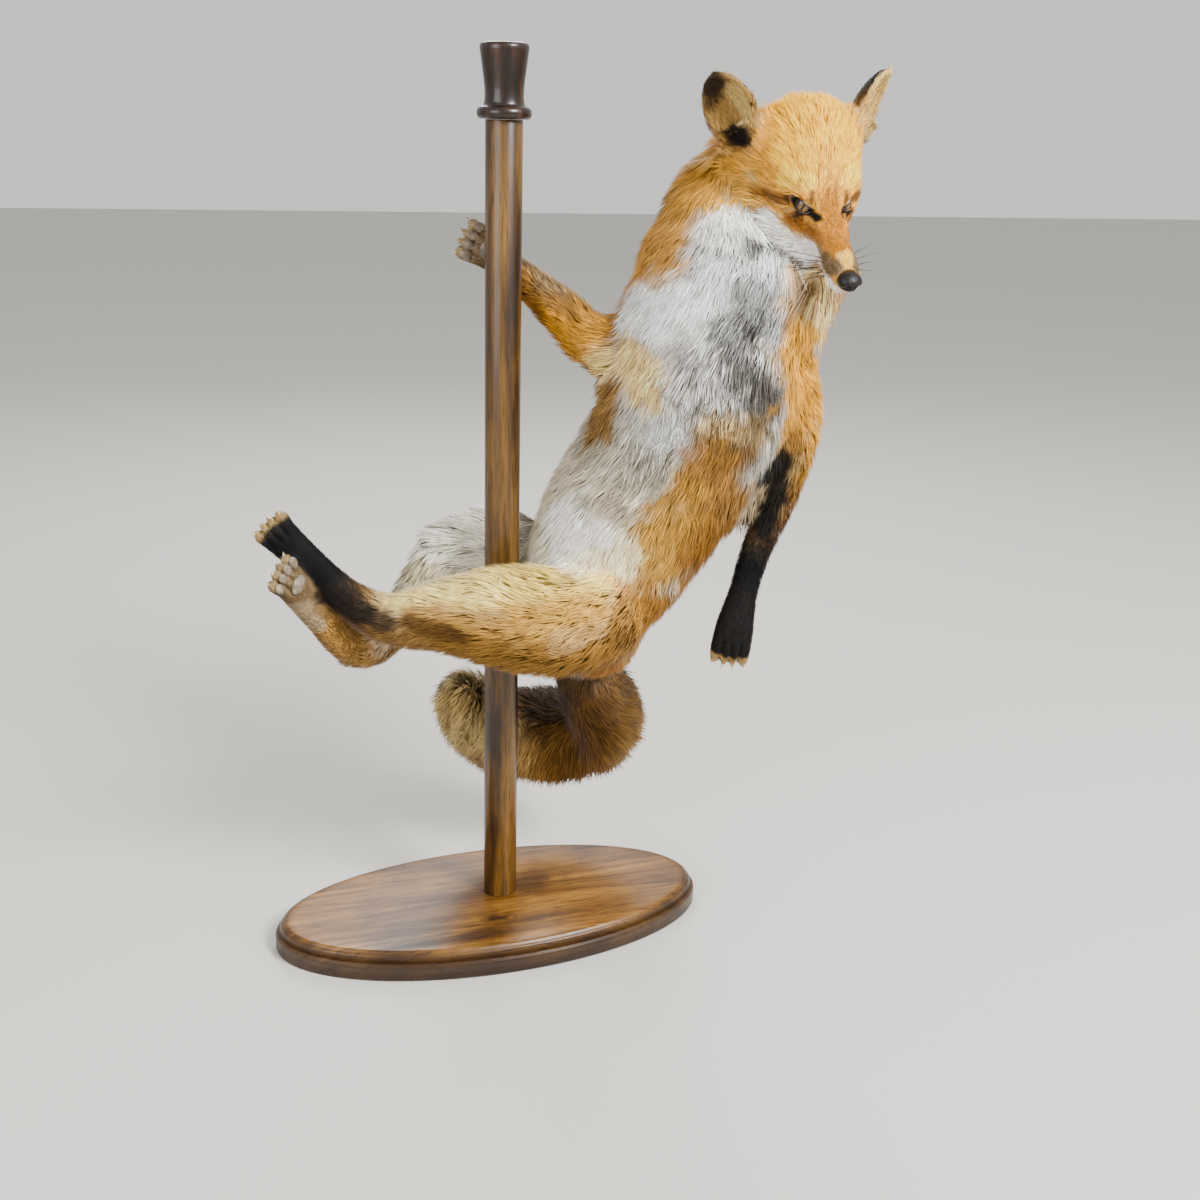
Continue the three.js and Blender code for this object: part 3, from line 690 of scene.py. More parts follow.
# the same on the face, in the head's own frame (forward, to the side, up), on both sides
FACE_MARKS = [
    # forehead, pale brow over the eye, bridge and the light end of the muzzle
    ((-60, 14, 58), (-30, 22, 46), 28, "F2B46C", 0.9), ((-4, 19, 25), (-16, 36, 20), 8, "F2C890", 0.7),
    ((8, 0, 15), (26, 0, 9), 10, "A87038", 0.85), ((30, 4, 5), (48, 4, 0), 10, "AE763C", 0.85),
    ((56, 5, -2), (64, 4, -3), 6, "E9C083", 0.85),
    # brown side of the muzzle and the grey-brown whisker patch
    ((10, 29, -6), (30, 19, -7), 9, "8C5C32", 0.92), ((34, 18, -10), (44, 15, -8), 8, "A27547", 0.85),
    ((62, 11, -9), (67, 9, -8), 5, "7C6C57", 0.8),
    # white lip and cheek, with the orange meeting them in a line under the eye, and a dark grey line of
    # painted shadow under the cheek
    ((44, 16, -28), (64, 13, -25), 7, "F0EFEA", 0.97), ((68, 10, -24), (74, 8, -25), 6, "E4E1D9", 0.95),
    ((20, 33, -21), (34, 21, -29), 8, "F2F1EC", 0.97), ((-8, 47, -19), (10, 38, -22), 9, "F0ECE2", 0.95),
    ((34, 22, -38), (48, 16, -36), 6, "F4F3EF", 0.8), ((16, 60, -26), (30, 27, -37), 7, "5C5A58", 0.85),
    ((36, 20, -17), (60, 12, -10), 8, "6F5C46", 0.92),
    # black corner of the eye, its line up the brow and its tail behind the eye
    ((9, 17, 3), (18, 12.5, 4), 3.5, "15110E", 1.0), ((12, 18, 10), (3, 16.5, 19), 2.4, "7A5430", 0.85),
    ((-50, 54, 10), (-60, 57, -2), 10, "D09A56", 0.9),
    ((4, 27, -1), (16, 20, 1), 3.2, "2A1E14", 0.9), ((0, 32, 8), (-4, 37, 5), 3.4, "3A2716", 0.9),
    ((-5, 36, 4), (-34, 54, -6), 5, "6E4828", 0.85), ((-38, 56, -6), (-48, 60, -4), 5, "A9794A", 0.5),
]
# pale hair at the ends of the toes: its colour and strength on each foot
TOE_COLORS = {
    "arm_left": ("B99A70", 0.85), "arm_right": ("A58E6E", 0.6), "leg_left": ("B0966E", 0.8),
    "leg_right": ("A8926F", 0.7),
}
# inside of the ears, in the head's frame: dark skin of the hollow deepened with painted shade, dark tip and
# pale hair between, and a painted shadow where the left ear meets the head
EAR_MARKS = [
    ((-56, -66, 26), (-64, -70, 33), 12, "1A100A", 1.0), ((-80, -84, 40), (-94, -85, 58), 11, "33231A", 0.95),
    ((-68, -60, 40), (-84, -66, 54), 8, "D9BE90", 0.85), ((-49, 33, 47), (-62, 44, 50), 5, "5A4026", 0.8),
    ((-78, 62, 56), (-92, 78, 68), 7, "D9BE90", 0.7),
]
RICHNESS = 1.22
DEEPNESS = 0.2
# painted shade: the hide under the coat is darkened to this share of the coat's colour
UNDERFUR_SHADE = 0.92  # of the coat over it
GRIZZLE = 0.55  # how much more unlike neighbouring tufts are where the coat is grey


def shades(codes):
    return np.array([hex_color(code)[:3] for code in codes])


back_values = [through(shades(BACK_COLORS[name])) for name in line_names]
pale_values = [through(shades(PALE_COLORS[name])) for name in line_names]
side_values = [through(unit(np.array(PALE_SIDE[name], float))) for name in line_names]
tick_values = [through(np.array(TICKING[name])[:, None]) for name in line_names]
depth_values = [curve[2][:, None] for curve in curves]
heading_values = [curve[3] for curve in curves]
ear_lines = [line_names.index("ear_left"), line_names.index("ear_right")]
limb_lines = [k for k, name in enumerate(line_names) if name.startswith(("arm", "leg", "tail"))]


def lay_marks(color, points, marks, wander):
    for start, end, radius, code, strength in marks:
        start, run = np.array(start), np.subtract(end, start)
        along = np.clip((points - start) @ run / (run @ run), 0, 1)
        gap = np.linalg.norm(points - start - along[:, None] * run, axis=1) * wander / radius
        amount = strength * smoothstep(1.4, 0.65, gap)[:, None]
        color = color * (1 - amount) + np.array(hex_color(code)[:3]) * amount
    return color


def markings(points, normals, share, station):
    facing = blend_lines(share, station, side_values)
    towards = (unit(facing) * normals).sum(axis=1) + 0.16 * mottle(points, 22, 5)
    pale = smoothstep(0.05, 0.5, towards)[:, None]
    back_color = np.clip(blend_lines(share, station, back_values), 0, 1)
    pale_color = np.clip(blend_lines(share, station, pale_values), 0, 1)
    color = back_color * (1 - pale) + pale_color * pale
    wander = 1 + 0.22 * mottle(points, 12, 6)
    on_limb = smoothstep(0.25, 0.6, share[:, limb_lines].sum(axis=1))[:, None]
    trunk = lay_marks(color, points, TRUNK_MARKS, wander)
    color = lay_marks(trunk * (1 - on_limb) + color * on_limb, points, LIMB_MARKS, wander)
    on_head = to_head(points)
    on_head[:, 1] = abs(on_head[:, 1])
    color = lay_marks(color, on_head, FACE_MARKS, 1 + 0.12 * mottle(points, 6, 7))
    for (name, _, _, _), (_, _, _, _, toes) in zip(FEET, feet):
        code, strength = TOE_COLORS[name]
        for toe, heading in toes:
            gap = np.linalg.norm(points - toe - 8 * heading, axis=1)
            amount = strength * smoothstep(10, 5.5, gap)[:, None]
            color = color * (1 - amount) + np.array(hex_color(code)[:3]) * amount
    inside = (share[:, ear_lines].sum(axis=1) * smoothstep(0.1, 0.5, towards))[:, None]
    hollow = lay_marks(color, to_head(points), EAR_MARKS, 1 + 0.15 * mottle(points, 6, 8))
    color = color * (1 - inside) + hollow * inside
    # hair is deeper and more golden than the light lets it look
    grey = color @ np.array([[0.21], [0.72], [0.07]])
    color = np.clip(grey + RICHNESS * (color - grey), 0, 1) * grey**DEEPNESS
    golden = smoothstep(0.55, 0.2, color[:, 2] / np.maximum(color[:, 0], 0.01))
    color[:, 2] *= 1 - 0.85 * golden * smoothstep(0.4, 0.9, color[:, 0])
    return color


# ---------------------------------------------------------------- skin
# One tanned hide over the whole form, modelled from all its solids joined together, then
# drawn in by the depth of the coat, with the folds of the face and the eye sockets.
STAND_AND_PARTS = ("base_board", "pole", "pole_cap", "eye_left", "eye_right", "nose_pad")
flesh = sorted(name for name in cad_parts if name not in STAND_AND_PARTS)
VOXEL = 2.6
OVERLAP = 0.8
ABOVE_POLE = 2  # how far over the pole's top the fox still keeps clear of it
HIDE_TO_POLE = 0.5
HAIR_TO_POLE = 0.6
body = bmesh.new()
for name in flesh:
    part = bmesh.new()
    part.from_mesh(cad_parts[name].data)
    bmesh.ops.remove_doubles(part, verts=part.verts, dist=1e-6)
    part.normal_update()
    for vert in part.verts:
        vert.co += vert.normal * OVERLAP * MM
    grown = bpy.data.meshes.new("grown")
    part.to_mesh(grown)
    part.free()
    body.from_mesh(grown)
skin_mesh = bpy.data.meshes.new("joined")
body.to_mesh(skin_mesh)
body.free()
joined = bpy.data.objects.new("joined", skin_mesh)
bpy.context.collection.objects.link(joined)
remesh = joined.modifiers.new("one_surface", "REMESH")
remesh.mode = "VOXEL"
remesh.voxel_size = VOXEL * MM
depsgraph = bpy.context.evaluated_depsgraph_get()
one_surface = bpy.data.meshes.new_from_object(joined.evaluated_get(depsgraph))
bpy.data.objects.remove(joined)
body = bmesh.new()
body.from_mesh(one_surface)
unseen = set(body.verts)
islands = []
while unseen:
    island = [unseen.pop()]
    for vert in island:
        for edge in vert.link_edges:
            other = edge.other_vert(vert)
            if other in unseen:
                unseen.discard(other)
                island.append(other)
    islands.append(island)
islands.sort(key=len)
bmesh.ops.delete(body, geom=[v for island in islands[:-1] for v in island], context="VERTS")
skin = bpy.data.meshes.new("hide")
body.to_mesh(skin)
body.free()


def read(collection, key, width, kind=np.float32):
    values = np.zeros(len(collection) * width, kind)
    collection.foreach_get(key, values)
    return values.reshape(-1, width)


def surface_of(mesh):
    """A mesh's points in millimetres, its edges and the normals at its points."""
    return (
        read(mesh.vertices, "co", 3).astype(float) / MM,
        read(mesh.edges, "vertices", 2, np.int32),
        read(mesh.vertex_normals, "vector", 3).astype(float),
    )


def move_to(mesh, points):
    mesh.vertices.foreach_set("co", (points * MM).ravel())
    mesh.update()


def paint(mesh, colors):
    """Keeps a colour at each point for the material to read."""
    layer = mesh.color_attributes.new("coat", "FLOAT_COLOR", "POINT")
    opaque = np.ones((*colors.shape[:-1], 1))
    rgba = np.concatenate([np.clip(colors, 0, 1), opaque], axis=-1)
    layer.data.foreach_set("color", rgba.astype(np.float32).ravel())


def clear_of_pole(points, clearance):
    """Moves points that lie in the pole out to its side."""
    arm = points[..., :2] - (POLE_X, POLE_Y)
    reach = np.linalg.norm(arm, axis=-1, keepdims=True)
    inside = (reach < POLE_RADIUS + clearance) & (points[..., 2:] < POLE_TOP + ABOVE_POLE)
    moved = (POLE_X, POLE_Y) + arm / np.maximum(reach, 1e-6) * (POLE_RADIUS + clearance)
    points[..., :2] = np.where(inside, moved, points[..., :2])


def relax(points, edges, strength, rounds):
    """Draws each point towards the middle of its neighbours."""
    count = np.bincount(edges.ravel(), minlength=len(points))[:, None]
    for _ in range(rounds):
        total = np.zeros_like(points)
        for axis in range(3):
            total[:, axis] = np.bincount(
                edges[:, 0], points[edges[:, 1], axis], len(points)
            ) + np.bincount(edges[:, 1], points[edges[:, 0], axis], len(points))
        points = points + strength * (total / np.maximum(count, 1) - points)
    return points


points, edges, _ = surface_of(skin)
share, station = place_on_lines(points)
depth = blend_lines(share, station, depth_values)[:, 0]
on_head = to_head(points)
is_head = share[:, line_names.index("head")]
softness = np.clip(depth / 8, 0.1, 1)[:, None]
points = relax(points, edges, 0.5 * softness, 14)
STEPS = 5
for _ in range(STEPS):
    move_to(skin, points)
    normals = read(skin.vertex_normals, "vector", 3).astype(float)
    normals = unit(relax(normals, edges, 0.5, 4))
    points = points - normals * (depth[:, None] + OVERLAP) / STEPS
    points = relax(points, edges, 0.4 * softness, 3)
points = relax(points, edges, 0.5 * softness, 4)
move_to(skin, points)

# finer faces on the front of the head and on the feet, where the coat is very short
body = bmesh.new()
body.from_mesh(skin)
body.verts.ensure_lookup_table()
is_fine = (is_head > 0.5) & (on_head[:, 0] > -22)
for end, along, side, sole, toes in feet:
    is_fine |= np.linalg.norm(points - end, axis=1) < 34
fine = [e for e in body.edges if all(is_fine[v.index] for v in e.verts)]
bmesh.ops.subdivide_edges(body, edges=fine, cuts=1, use_grid_fill=True, smooth=0.2)
bmesh.ops.triangulate(body, faces=[f for f in body.faces if len(f.verts) > 4])
body.to_mesh(skin)
body.free()
points, edges, normals = surface_of(skin)
local = to_head(points)
mirrored = local.copy()
mirrored[:, 1] = abs(mirrored[:, 1])
# brow, stop, cheekbone, hollow under the eye, whisker pad: place, radius, how proud
FACE_FORMS = [
    (-4, 19, 20, 12, 2.2), (12, 0, 12, 10, -1.2), (-8, 38, -10, 15, 1.6),
    (16, 21, -6, 9, -2.0), (58, 12, -22, 11, 1.8), (66, 0, -3, 9, -0.6),
    (36, 0, 3, 12, -0.8), (44, 12, -36, 9, -1.5),
]
lift = np.zeros(len(points))
for x, y, z, radius, height in FACE_FORMS:
    gap = np.linalg.norm(mirrored - (x, y, z), axis=1) / radius
    lift += height * np.exp(-1.2 * gap**2)
EAR_ROOT = (-66, 56, 20)
EAR_TIP = (-96, 86, 66)
EAR_FACING = (0.5, 0.7, 0.35)
EAR_LENGTH = 63
EAR_HALF_WIDTH = 26
EAR_BOWL = 3.5
MOUTH_DEPTH = 1.8
MOUTH_WIDTH = 2.2
CLEFT_DEPTH = 3.4  # between the toes
CLEFT_WIDTH = 1.7
TOE_RISE = 0.9
TOE_LENGTH = 9
# the mouth is a groove from under the nose back along the muzzle
MOUTH = np.array([(80, 1, -25), (70, 9, -29), (56, 13.5, -32), (40, 16.5, -34), (24, 19, -35.5)])
mouth_line = np.vstack([
    a + (b - a) * t for a, b in zip(MOUTH, MOUTH[1:]) for t in np.linspace(0, 1, 9)
])
mouth_gap = np.min(np.linalg.norm(mirrored[:, None] - mouth_line[None], axis=2), axis=1)
lift -= MOUTH_DEPTH * np.exp(-((mouth_gap / MOUTH_WIDTH) ** 2))
# toes stand proud of the clefts between them
for end, along, side, sole, toes in feet:
    for (toe, heading), (beside, _) in zip(toes, toes[1:]):
        arm = points - (toe + beside) / 2
        ahead, aside, deep = arm @ along, arm @ side, arm @ sole
        here = smoothstep(-17, -9, ahead) * (ahead < 22) * (abs(deep) < 15)
        lift -= here * CLEFT_DEPTH * np.exp(-((aside / CLEFT_WIDTH) ** 2))
    for toe, heading in toes:
        arm = points - toe
        ahead = arm @ heading
        off = np.linalg.norm(arm - ahead[:, None] * heading, axis=1)
        ridge = TOE_RISE * np.exp(-((ahead / TOE_LENGTH) ** 2)) * (off < 11)
        lift += ridge * np.exp(-(((arm @ side) / 2.6) ** 2))
# the ears are open cones, thin at the rim and deepest low down
for side in (1, -1):
    flip = np.array([1, side, 1])
    ear_root, ear_tip = np.array(EAR_ROOT) * flip, np.array(EAR_TIP) * flip
    along = unit(ear_tip - ear_root)
    facing = np.array(EAR_FACING) * flip
    facing = unit(facing - along * (facing @ along))
    arm = local - ear_root
    up = arm @ along / EAR_LENGTH
    wide = arm @ np.cross(facing, along) / EAR_HALF_WIDTH
    inner_face = (normals @ head_axes) @ facing
    bowl = smoothstep(1.0, 0.2, np.hypot(wide, (up - 0.42) / 0.52)) * smoothstep(0.0, 0.5, inner_face)
    lift -= EAR_BOWL * bowl * (arm @ facing > -12) * (abs(up) < 1.2)
points = points + normals * lift[:, None]

# eye sockets: where the eyes sit, which way they look and where their inner corners are
EYE_AT = (0, 17.5, 4)
OPENING_MIDDLE = -1.5  # of the almond between the lids, along the slit
OPENING_HALF_LENGTH = 10.5
OPENING_HALF_HEIGHT = 4.6
EYE_RADIUS = 9.5
HIDE_OVER_GLASS = 0.6
SOCKET_DEPTH = 2.6
EYE_GAZE = (0.75, 0.6, 0.28)
EYE_CORNER = (0.65, -0.73, -0.19)


def almond(along, up):
    """How far out a place is on the almond between the lids, whose rim is at 1."""
    return np.hypot((along - OPENING_MIDDLE) / OPENING_HALF_LENGTH, up / OPENING_HALF_HEIGHT)


def eye_frame(side):
    """Centre, then the directions to the inner corner, up across the lids and out."""
    flip = np.array([1, side, 1])
    out = unit(np.array(EYE_GAZE) * flip)
    inner = np.array(EYE_CORNER) * flip
    inner = unit(inner - out * (inner @ out))
    up = np.cross(out, inner) * (1 if np.cross(out, inner)[2] > 0 else -1)
    return np.array(EYE_AT) * flip, inner, up, out


local = to_head(points)
socket_shift = np.zeros((len(points), 3))
for side in (1, -1):
    centre, inner, up, out = eye_frame(side)
    a, b, w = (local - centre) @ inner, (local - centre) @ up, (local - centre) @ out
    flat = np.hypot(a, b)
    opening = almond(a, b)
    near = (w > -4) & (w < 30) & (opening < 2.6)
    over_glass = np.sqrt(EYE_RADIUS**2 - np.minimum(flat, 9.0) ** 2) + HIDE_OVER_GLASS
    blend = smoothstep(1.0, 2.5, opening)
    level = np.where(near, over_glass * (1 - blend) + w * blend, w)
    points = points + ((level - w)[:, None] * out) @ head_axes.T
    inside = near & (opening < 1.0)
    sink = np.where(inside, over_glass - SOCKET_DEPTH - level, 0)
    socket_shift += (sink[:, None] * out) @ head_axes.T
move_to(skin, points)
smooth_face = BVHTree.FromPolygons(
    [Vector(p) for p in points], [tuple(p.vertices) for p in skin.polygons]
)
# inside the opening the hide dips behind the glass
points = points + socket_shift
clear_of_pole(points, HIDE_TO_POLE)
move_to(skin, points)
normals = read(skin.vertex_normals, "vector", 3).astype(float)
share, station = place_on_lines(points)
even = unit(relax(normals, edges, 0.5, 6))
coat_top = points + even * blend_lines(share, station, depth_values)
hue = markings(coat_top, even, share, station)
# the hide is painted darker than the coat over it, as painted shade under the hair
paint(skin, hue * UNDERFUR_SHADE)

hide, tree, shader = start_material("fox_hide_with_underfur")
place = add_node(tree, "ShaderNodeTexCoord").outputs["Object"]
tint = add_node(tree, "ShaderNodeAttribute", attribute_name="coat").outputs["Color"]
# short hairs about 0.5 mm apart
hairs, hair_shade = noise_colors(
    tree, place, [(0.3, "8A7A68"), (0.62, "FFFFFF")], Scale=1400.0, Detail=4.0, Roughness=0.7
)
tint = add_node(tree, "ShaderNodeMix", {0: 0.5, 6: tint, 7: hair_shade}, **MULTIPLY).outputs[2]
relief = add_node(
    tree, "ShaderNodeBump", {"Strength": 0.8, "Distance": 0.0006, "Height": hairs}
)
set_inputs(
    shader,
    {"Base Color": tint, "Roughness": 0.75, "Specular IOR Level": 0.2,
     "Normal": relief.outputs[0]},
)
skin_object = make_object("hide", skin, hide)
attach(skin_object, "root")
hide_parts(*flesh)

# ---------------------------------------------------------------- eyes and lids
# Blown glass eyes with an amber iris and an upright pupil, set deep in modelled sockets.
# Black lid rims fit against the glass and run into a dark fold towards the nose.
def lid_outline(scale):
    """The almond between the lids: nearly straight above, rounder below."""
    angle = np.linspace(0, 2 * math.pi, 48, endpoint=False)
    rise = np.sin(angle)
    height = OPENING_HALF_HEIGHT * np.where(rise > 0, 0.86, 1.04) * abs(rise) ** 1.15
    along = OPENING_MIDDLE + OPENING_HALF_LENGTH * scale * np.cos(angle)
    return along, np.sign(rise) * height * scale


# each loop of the lid: scale of the almond, lift over the hide, how black it is
LID_LOOPS = [
    (0.86, -0.9, 1), (0.89, 0.1, 1), (0.95, 0.7, 1), (1.03, 0.75, 1), (1.12, 0.45, 0.9),
    (1.24, 0.0, 0.5), (1.4, -0.9, 0), (1.1, -2.2, 0),
]
lids = bmesh.new()
lid_tint = lids.verts.layers.float_color.new("coat")
glass = bmesh.new()
glass_map = glass.loops.layers.uv.new("iris")
for side in (1, -1):
    centre, inner, up, out = eye_frame(side)
    loops = []
    for scale, lift, black in LID_LOOPS:
        loop = []
        for a, b in zip(*lid_outline(scale)):
            start = from_head(centre + a * inner + b * up + 30 * out)
            hit = smooth_face.ray_cast(Vector(start), Vector(head_axes @ -out), 60)[0]
            level = float((to_head(np.array(hit)) - centre) @ out)
            spot = from_head(centre + a * inner + b * up + (level + lift) * out) * MM
            loop.append(lids.verts.new(spot))
        loops.append(loop)
        spots = np.array([v.co for v in loop]) / MM
        share, station = place_on_lines(spots)
        outward = np.repeat((head_axes @ out)[None], len(loop), axis=0)
        hue = markings(spots, outward, share, station)
        hue = hue * (1 - black) + np.array(hex_color("120D0B")[:3]) * black
        for vert, color in zip(loop, hue):
            vert[lid_tint] = (*color, 1)
    for loop, after in zip(loops, loops[1:] + loops[:1]):
        join_rings(lids, loop, after)
    # the glass ball, and a flat map of its front for the iris
    ball = bmesh.ops.create_uvsphere(
        glass, u_segments=40, v_segments=24, radius=EYE_RADIUS * MM,
        matrix=Matrix.Translation(Vector(from_head(centre)) * MM),
    )
    facing = Vector(head_axes @ out)
    for face in {f for v in ball["verts"] for f in v.link_faces}:
        for loop in face.loops:
            offset = (loop.vert.co - Vector(from_head(centre)) * MM) / (EYE_RADIUS * MM)
            flat_x = offset.dot(Vector(head_axes @ inner)) * side
            flat_y = offset.dot(Vector(head_axes @ up))
            behind = 2.0 if offset.dot(facing) < 0 else 0.0
            loop[glass_map].uv = (0.5 + 0.5 * flat_x + behind, 0.5 + 0.5 * flat_y)
bmesh.ops.recalc_face_normals(lids, faces=lids.faces)

coat_hair, tree, shader = start_material("fox_coat_hair")
# hair has a soft sheen and no mirror gloss
tint = add_node(tree, "ShaderNodeAttribute", attribute_name="coat")
set_inputs(
    shader,
    {"Base Color": tint.outputs["Color"], "Roughness": 0.62, "Specular IOR Level": 0.16,
     "Sheen Weight": 0.06, "Sheen Roughness": 0.4},
)

lid_skin, tree, shader = start_material("moist_lid_skin")
tint = add_node(tree, "ShaderNodeAttribute", attribute_name="coat")
set_inputs(shader, {"Base Color": tint.outputs["Color"], "Roughness": 0.45, "Specular IOR Level": 0.4})
lid_object = make_object("eyelids", lids, lid_skin)
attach(lid_object, "root")

amber_glass, tree, shader = start_material("amber_glass_eye")
flat_map = add_node(tree, "ShaderNodeUVMap", uv_map="iris").outputs["UV"]
from_middle = add_node(
    tree, "ShaderNodeMapping", {"Vector": flat_map, "Location": (-0.5, -0.5, 0)}
).outputs[0]
reach = add_node(tree, "ShaderNodeVectorMath", {0: from_middle}, operation="LENGTH")
iris = set_stops(
    add_node(tree, "ShaderNodeValToRGB", {"Fac": reach.outputs["Value"]}),
    [(0.05, "94702F"), (0.16, "7E5C28"), (0.235, "5C431F"), (0.265, "1C130C"), (0.33, "201A16")],
)
spokes_at = add_node(tree, "ShaderNodeVectorMath", {0: from_middle}, operation="NORMALIZE")
_, spoke_shade = noise_colors(
    tree, spokes_at.outputs[0], [(0.35, "7A6A58"), (0.6, "FFFFFF")], Scale=14.0, Detail=3.0
)
iris = add_node(tree, "ShaderNodeMix", {0: 0.6, 6: iris, 7: spoke_shade}, **MULTIPLY).outputs[2]
slit_at = add_node(
    tree, "ShaderNodeMapping", {"Vector": from_middle, "Scale": (1 / 0.06, 1 / 0.17, 0)}
)
slit = add_node(tree, "ShaderNodeVectorMath", {0: slit_at.outputs[0]}, operation="LENGTH")
pupil = add_node(
    tree,
    "ShaderNodeMapRange",
    {"Value": slit.outputs["Value"], "From Min": 0.9, "From Max": 1.1, "To Min": 1.0, "To Max": 0.0},
)
iris = add_node(
    tree, "ShaderNodeMix", {0: pupil.outputs[0], 6: iris, 7: hex_color("060505")}, **OVER
).outputs[2]
set_inputs(
    shader,
    {"Base Color": iris, "Roughness": 0.2, "Specular IOR Level": 0.3,
     "Coat Weight": 0.3, "Coat Roughness": 0.03},
)
eyes = make_object("glass_eyes", glass, amber_glass)
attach(eyes, "root")
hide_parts("eye_left", "eye_right")

# ---------------------------------------------------------------- nose
# Black leathery skin with a fine pebble, two comma-shaped nostrils and the groove that
# divides the upper lip.
NOSE_AT = np.array([75, 0, -13.5])
NOSE_HALF = (9.3, 10.8, 8.2)  # its length, width and height
# dents of the nostril: place from the middle of the nose, radius and depth
NOSTRIL = [
    ((8.6, 5.2, -1.6), 2.5, 4.2), ((7.0, 7.6, -3.2), 1.9, 2.6), ((5.2, 9.4, -4.0), 1.6, 1.6),
]
GROOVE_DEPTH = 1.1
GROOVE_WIDTH = 0.8
bm = bmesh.new()
bmesh.ops.create_icosphere(bm, subdivisions=5, radius=1)
for vert in bm.verts:
    x, y, z = vert.co
    length, width, height = NOSE_HALF
    # narrower below and flatter above
    spot = np.array([
        length * x, width * y * (1 - 0.12 * max(-z, 0)), height * z * (0.92 if z > 0 else 1)
    ])
    for offset, radius, deep in NOSTRIL:
        gap = np.linalg.norm(np.array([spot[0], abs(spot[1]), spot[2]]) - offset)
        inwards = unit(np.array([0.8, 0.5 * np.sign(y), -0.1]))
        spot = spot - inwards * deep * math.exp(-((gap / radius) ** 2))
    if z < 0.3 and x > 0:
        spot[0] -= GROOVE_DEPTH * math.exp(-((spot[1] / GROOVE_WIDTH) ** 2))
    vert.co = Vector(from_head(NOSE_AT + spot)) * MM
nose_skin, tree, shader = start_material("moist_nose_skin")
place = add_node(tree, "ShaderNodeTexCoord").outputs["Object"]
# pebbles of the nose skin are about 0.8 mm across
pebbles = add_node(tree, "ShaderNodeTexVoronoi", {"Vector": place, "Scale": 1250.0})
relief = add_node(
    tree, "ShaderNodeBump",
    {"Strength": 0.5, "Distance": 0.0004, "Height": pebbles.outputs["Distance"]}, invert=True,
)
_, black = noise_colors(
    tree, place, [(0.35, "0B0A0A"), (0.7, "1D1A19")], Scale=260.0, Detail=3.0
)
set_inputs(
    shader,
    {"Base Color": black, "Roughness": 0.42, "Normal": relief.outputs[0],
     "Coat Weight": 0.06, "Coat Roughness": 0.15, "Specular IOR Level": 0.2},
)
nose = make_object("nose_leather", bm, nose_skin)
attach(nose, "root")
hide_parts("nose_pad")

# ---------------------------------------------------------------- claws and pads
# Four toes to a foot, each with a curved horn claw and a dark leathery pad under it.
CLAW_LENGTH = 10
CLAW_RADIUS = 2.1
CLAW_STEPS = 5
CLAW_BEND = 0.5  # radians from root to tip
TOE_PAD = (4.4, 2.6, 6.0)  # half its width, depth and length
HEEL_PAD = (9.5, 3.4, 7.5)
claws = bmesh.new()
pads = bmesh.new()


def add_pad(middle, axes, size):
    pad = bmesh.ops.create_icosphere(pads, subdivisions=3, radius=1)["verts"]
    shape = axes @ Matrix.Diagonal((*size, 1))
    place = Matrix.Translation(Vector(middle) * MM) @ Matrix.Scale(MM, 4) @ shape
    bmesh.ops.transform(pads, verts=pad, matrix=place)


toe_spots = []
for end, along, side, sole, toes in feet:
    for toe, heading in toes:
        toe_spots.append(toe)
        down = unit(sole - heading * (sole @ heading))
        cross = np.cross(heading, down)
        axes = turned_to(cross, down, heading)
        root = toe + heading * 5.5 - down * 1.2
        place = Matrix.Translation(Vector(root) * MM) @ axes
        ring = bmesh.ops.create_circle(
            claws, cap_ends=True, segments=8, radius=CLAW_RADIUS * MM, matrix=place
        )
        tip = [f for f in claws.faces if set(f.verts) == set(ring["verts"])][0]
        for k in range(CLAW_STEPS):
            grown = bmesh.ops.extrude_face_region(claws, geom=[tip], use_keep_orig=(k == 0))
            verts = [v for v in grown["geom"] if isinstance(v, bmesh.types.BMVert)]
            tip = [f for f in grown["geom"] if isinstance(f, bmesh.types.BMFace)][0]
            bend = CLAW_BEND * (k + 0.5) / CLAW_STEPS
            shift = heading * math.cos(bend) + down * math.sin(bend)
            bmesh.ops.translate(claws, verts=verts, vec=Vector(shift) * CLAW_LENGTH / CLAW_STEPS * MM)
            middle = sum((v.co for v in verts), Vector()) / len(verts)
            narrower = (CLAW_STEPS - k - 1 + 0.25) / (CLAW_STEPS - k + 0.25)
            bmesh.ops.scale(
                claws, verts=verts, vec=(narrower,) * 3, space=Matrix.Translation(-middle)
            )
        add_pad(toe + sole * 5.4 + heading * 1.5, axes, TOE_PAD)
    heel = end + sole * 9 - along * 9
    add_pad(heel, turned_to(side, sole, along), HEEL_PAD)
bmesh.ops.recalc_face_normals(claws, faces=claws.faces)

horn, tree, shader = start_material("claw_horn")
place = add_node(tree, "ShaderNodeTexCoord").outputs["Object"]
# layers of horn 3 mm apart
_, shade = noise_colors(
    tree, place, [(0.3, "8A7658"), (0.5, "C0AC86"), (0.7, "DDCFAE")], Scale=300.0, Detail=3.0
)
set_inputs(shader, {"Base Color": shade, "Roughness": 0.35, "IOR": 1.54})
claw_object = make_object("claws", claws, horn)
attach(claw_object, "root")
pad_leather, tree, shader = start_material("dry_pad_leather")
place = add_node(tree, "ShaderNodeTexCoord").outputs["Object"]
# the grain of a dried pad is about 1 mm across
grain = add_node(tree, "ShaderNodeTexVoronoi", {"Vector": place, "Scale": 1000.0})
_, brown = noise_colors(
    tree, place, [(0.3, "4A4036"), (0.55, "7B6C5B"), (0.75, "9A8A75")], Scale=180.0, Detail=4.0
)
relief = add_node(
    tree, "ShaderNodeBump", {"Strength": 0.5, "Distance": 0.0005, "Height": grain.outputs["Distance"]},
    invert=True,
)
set_inputs(shader, {"Base Color": brown, "Roughness": 0.6, "Normal": relief.outputs[0]})
pad_object = make_object("paw_pads", pads, pad_leather)
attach(pad_object, "root")

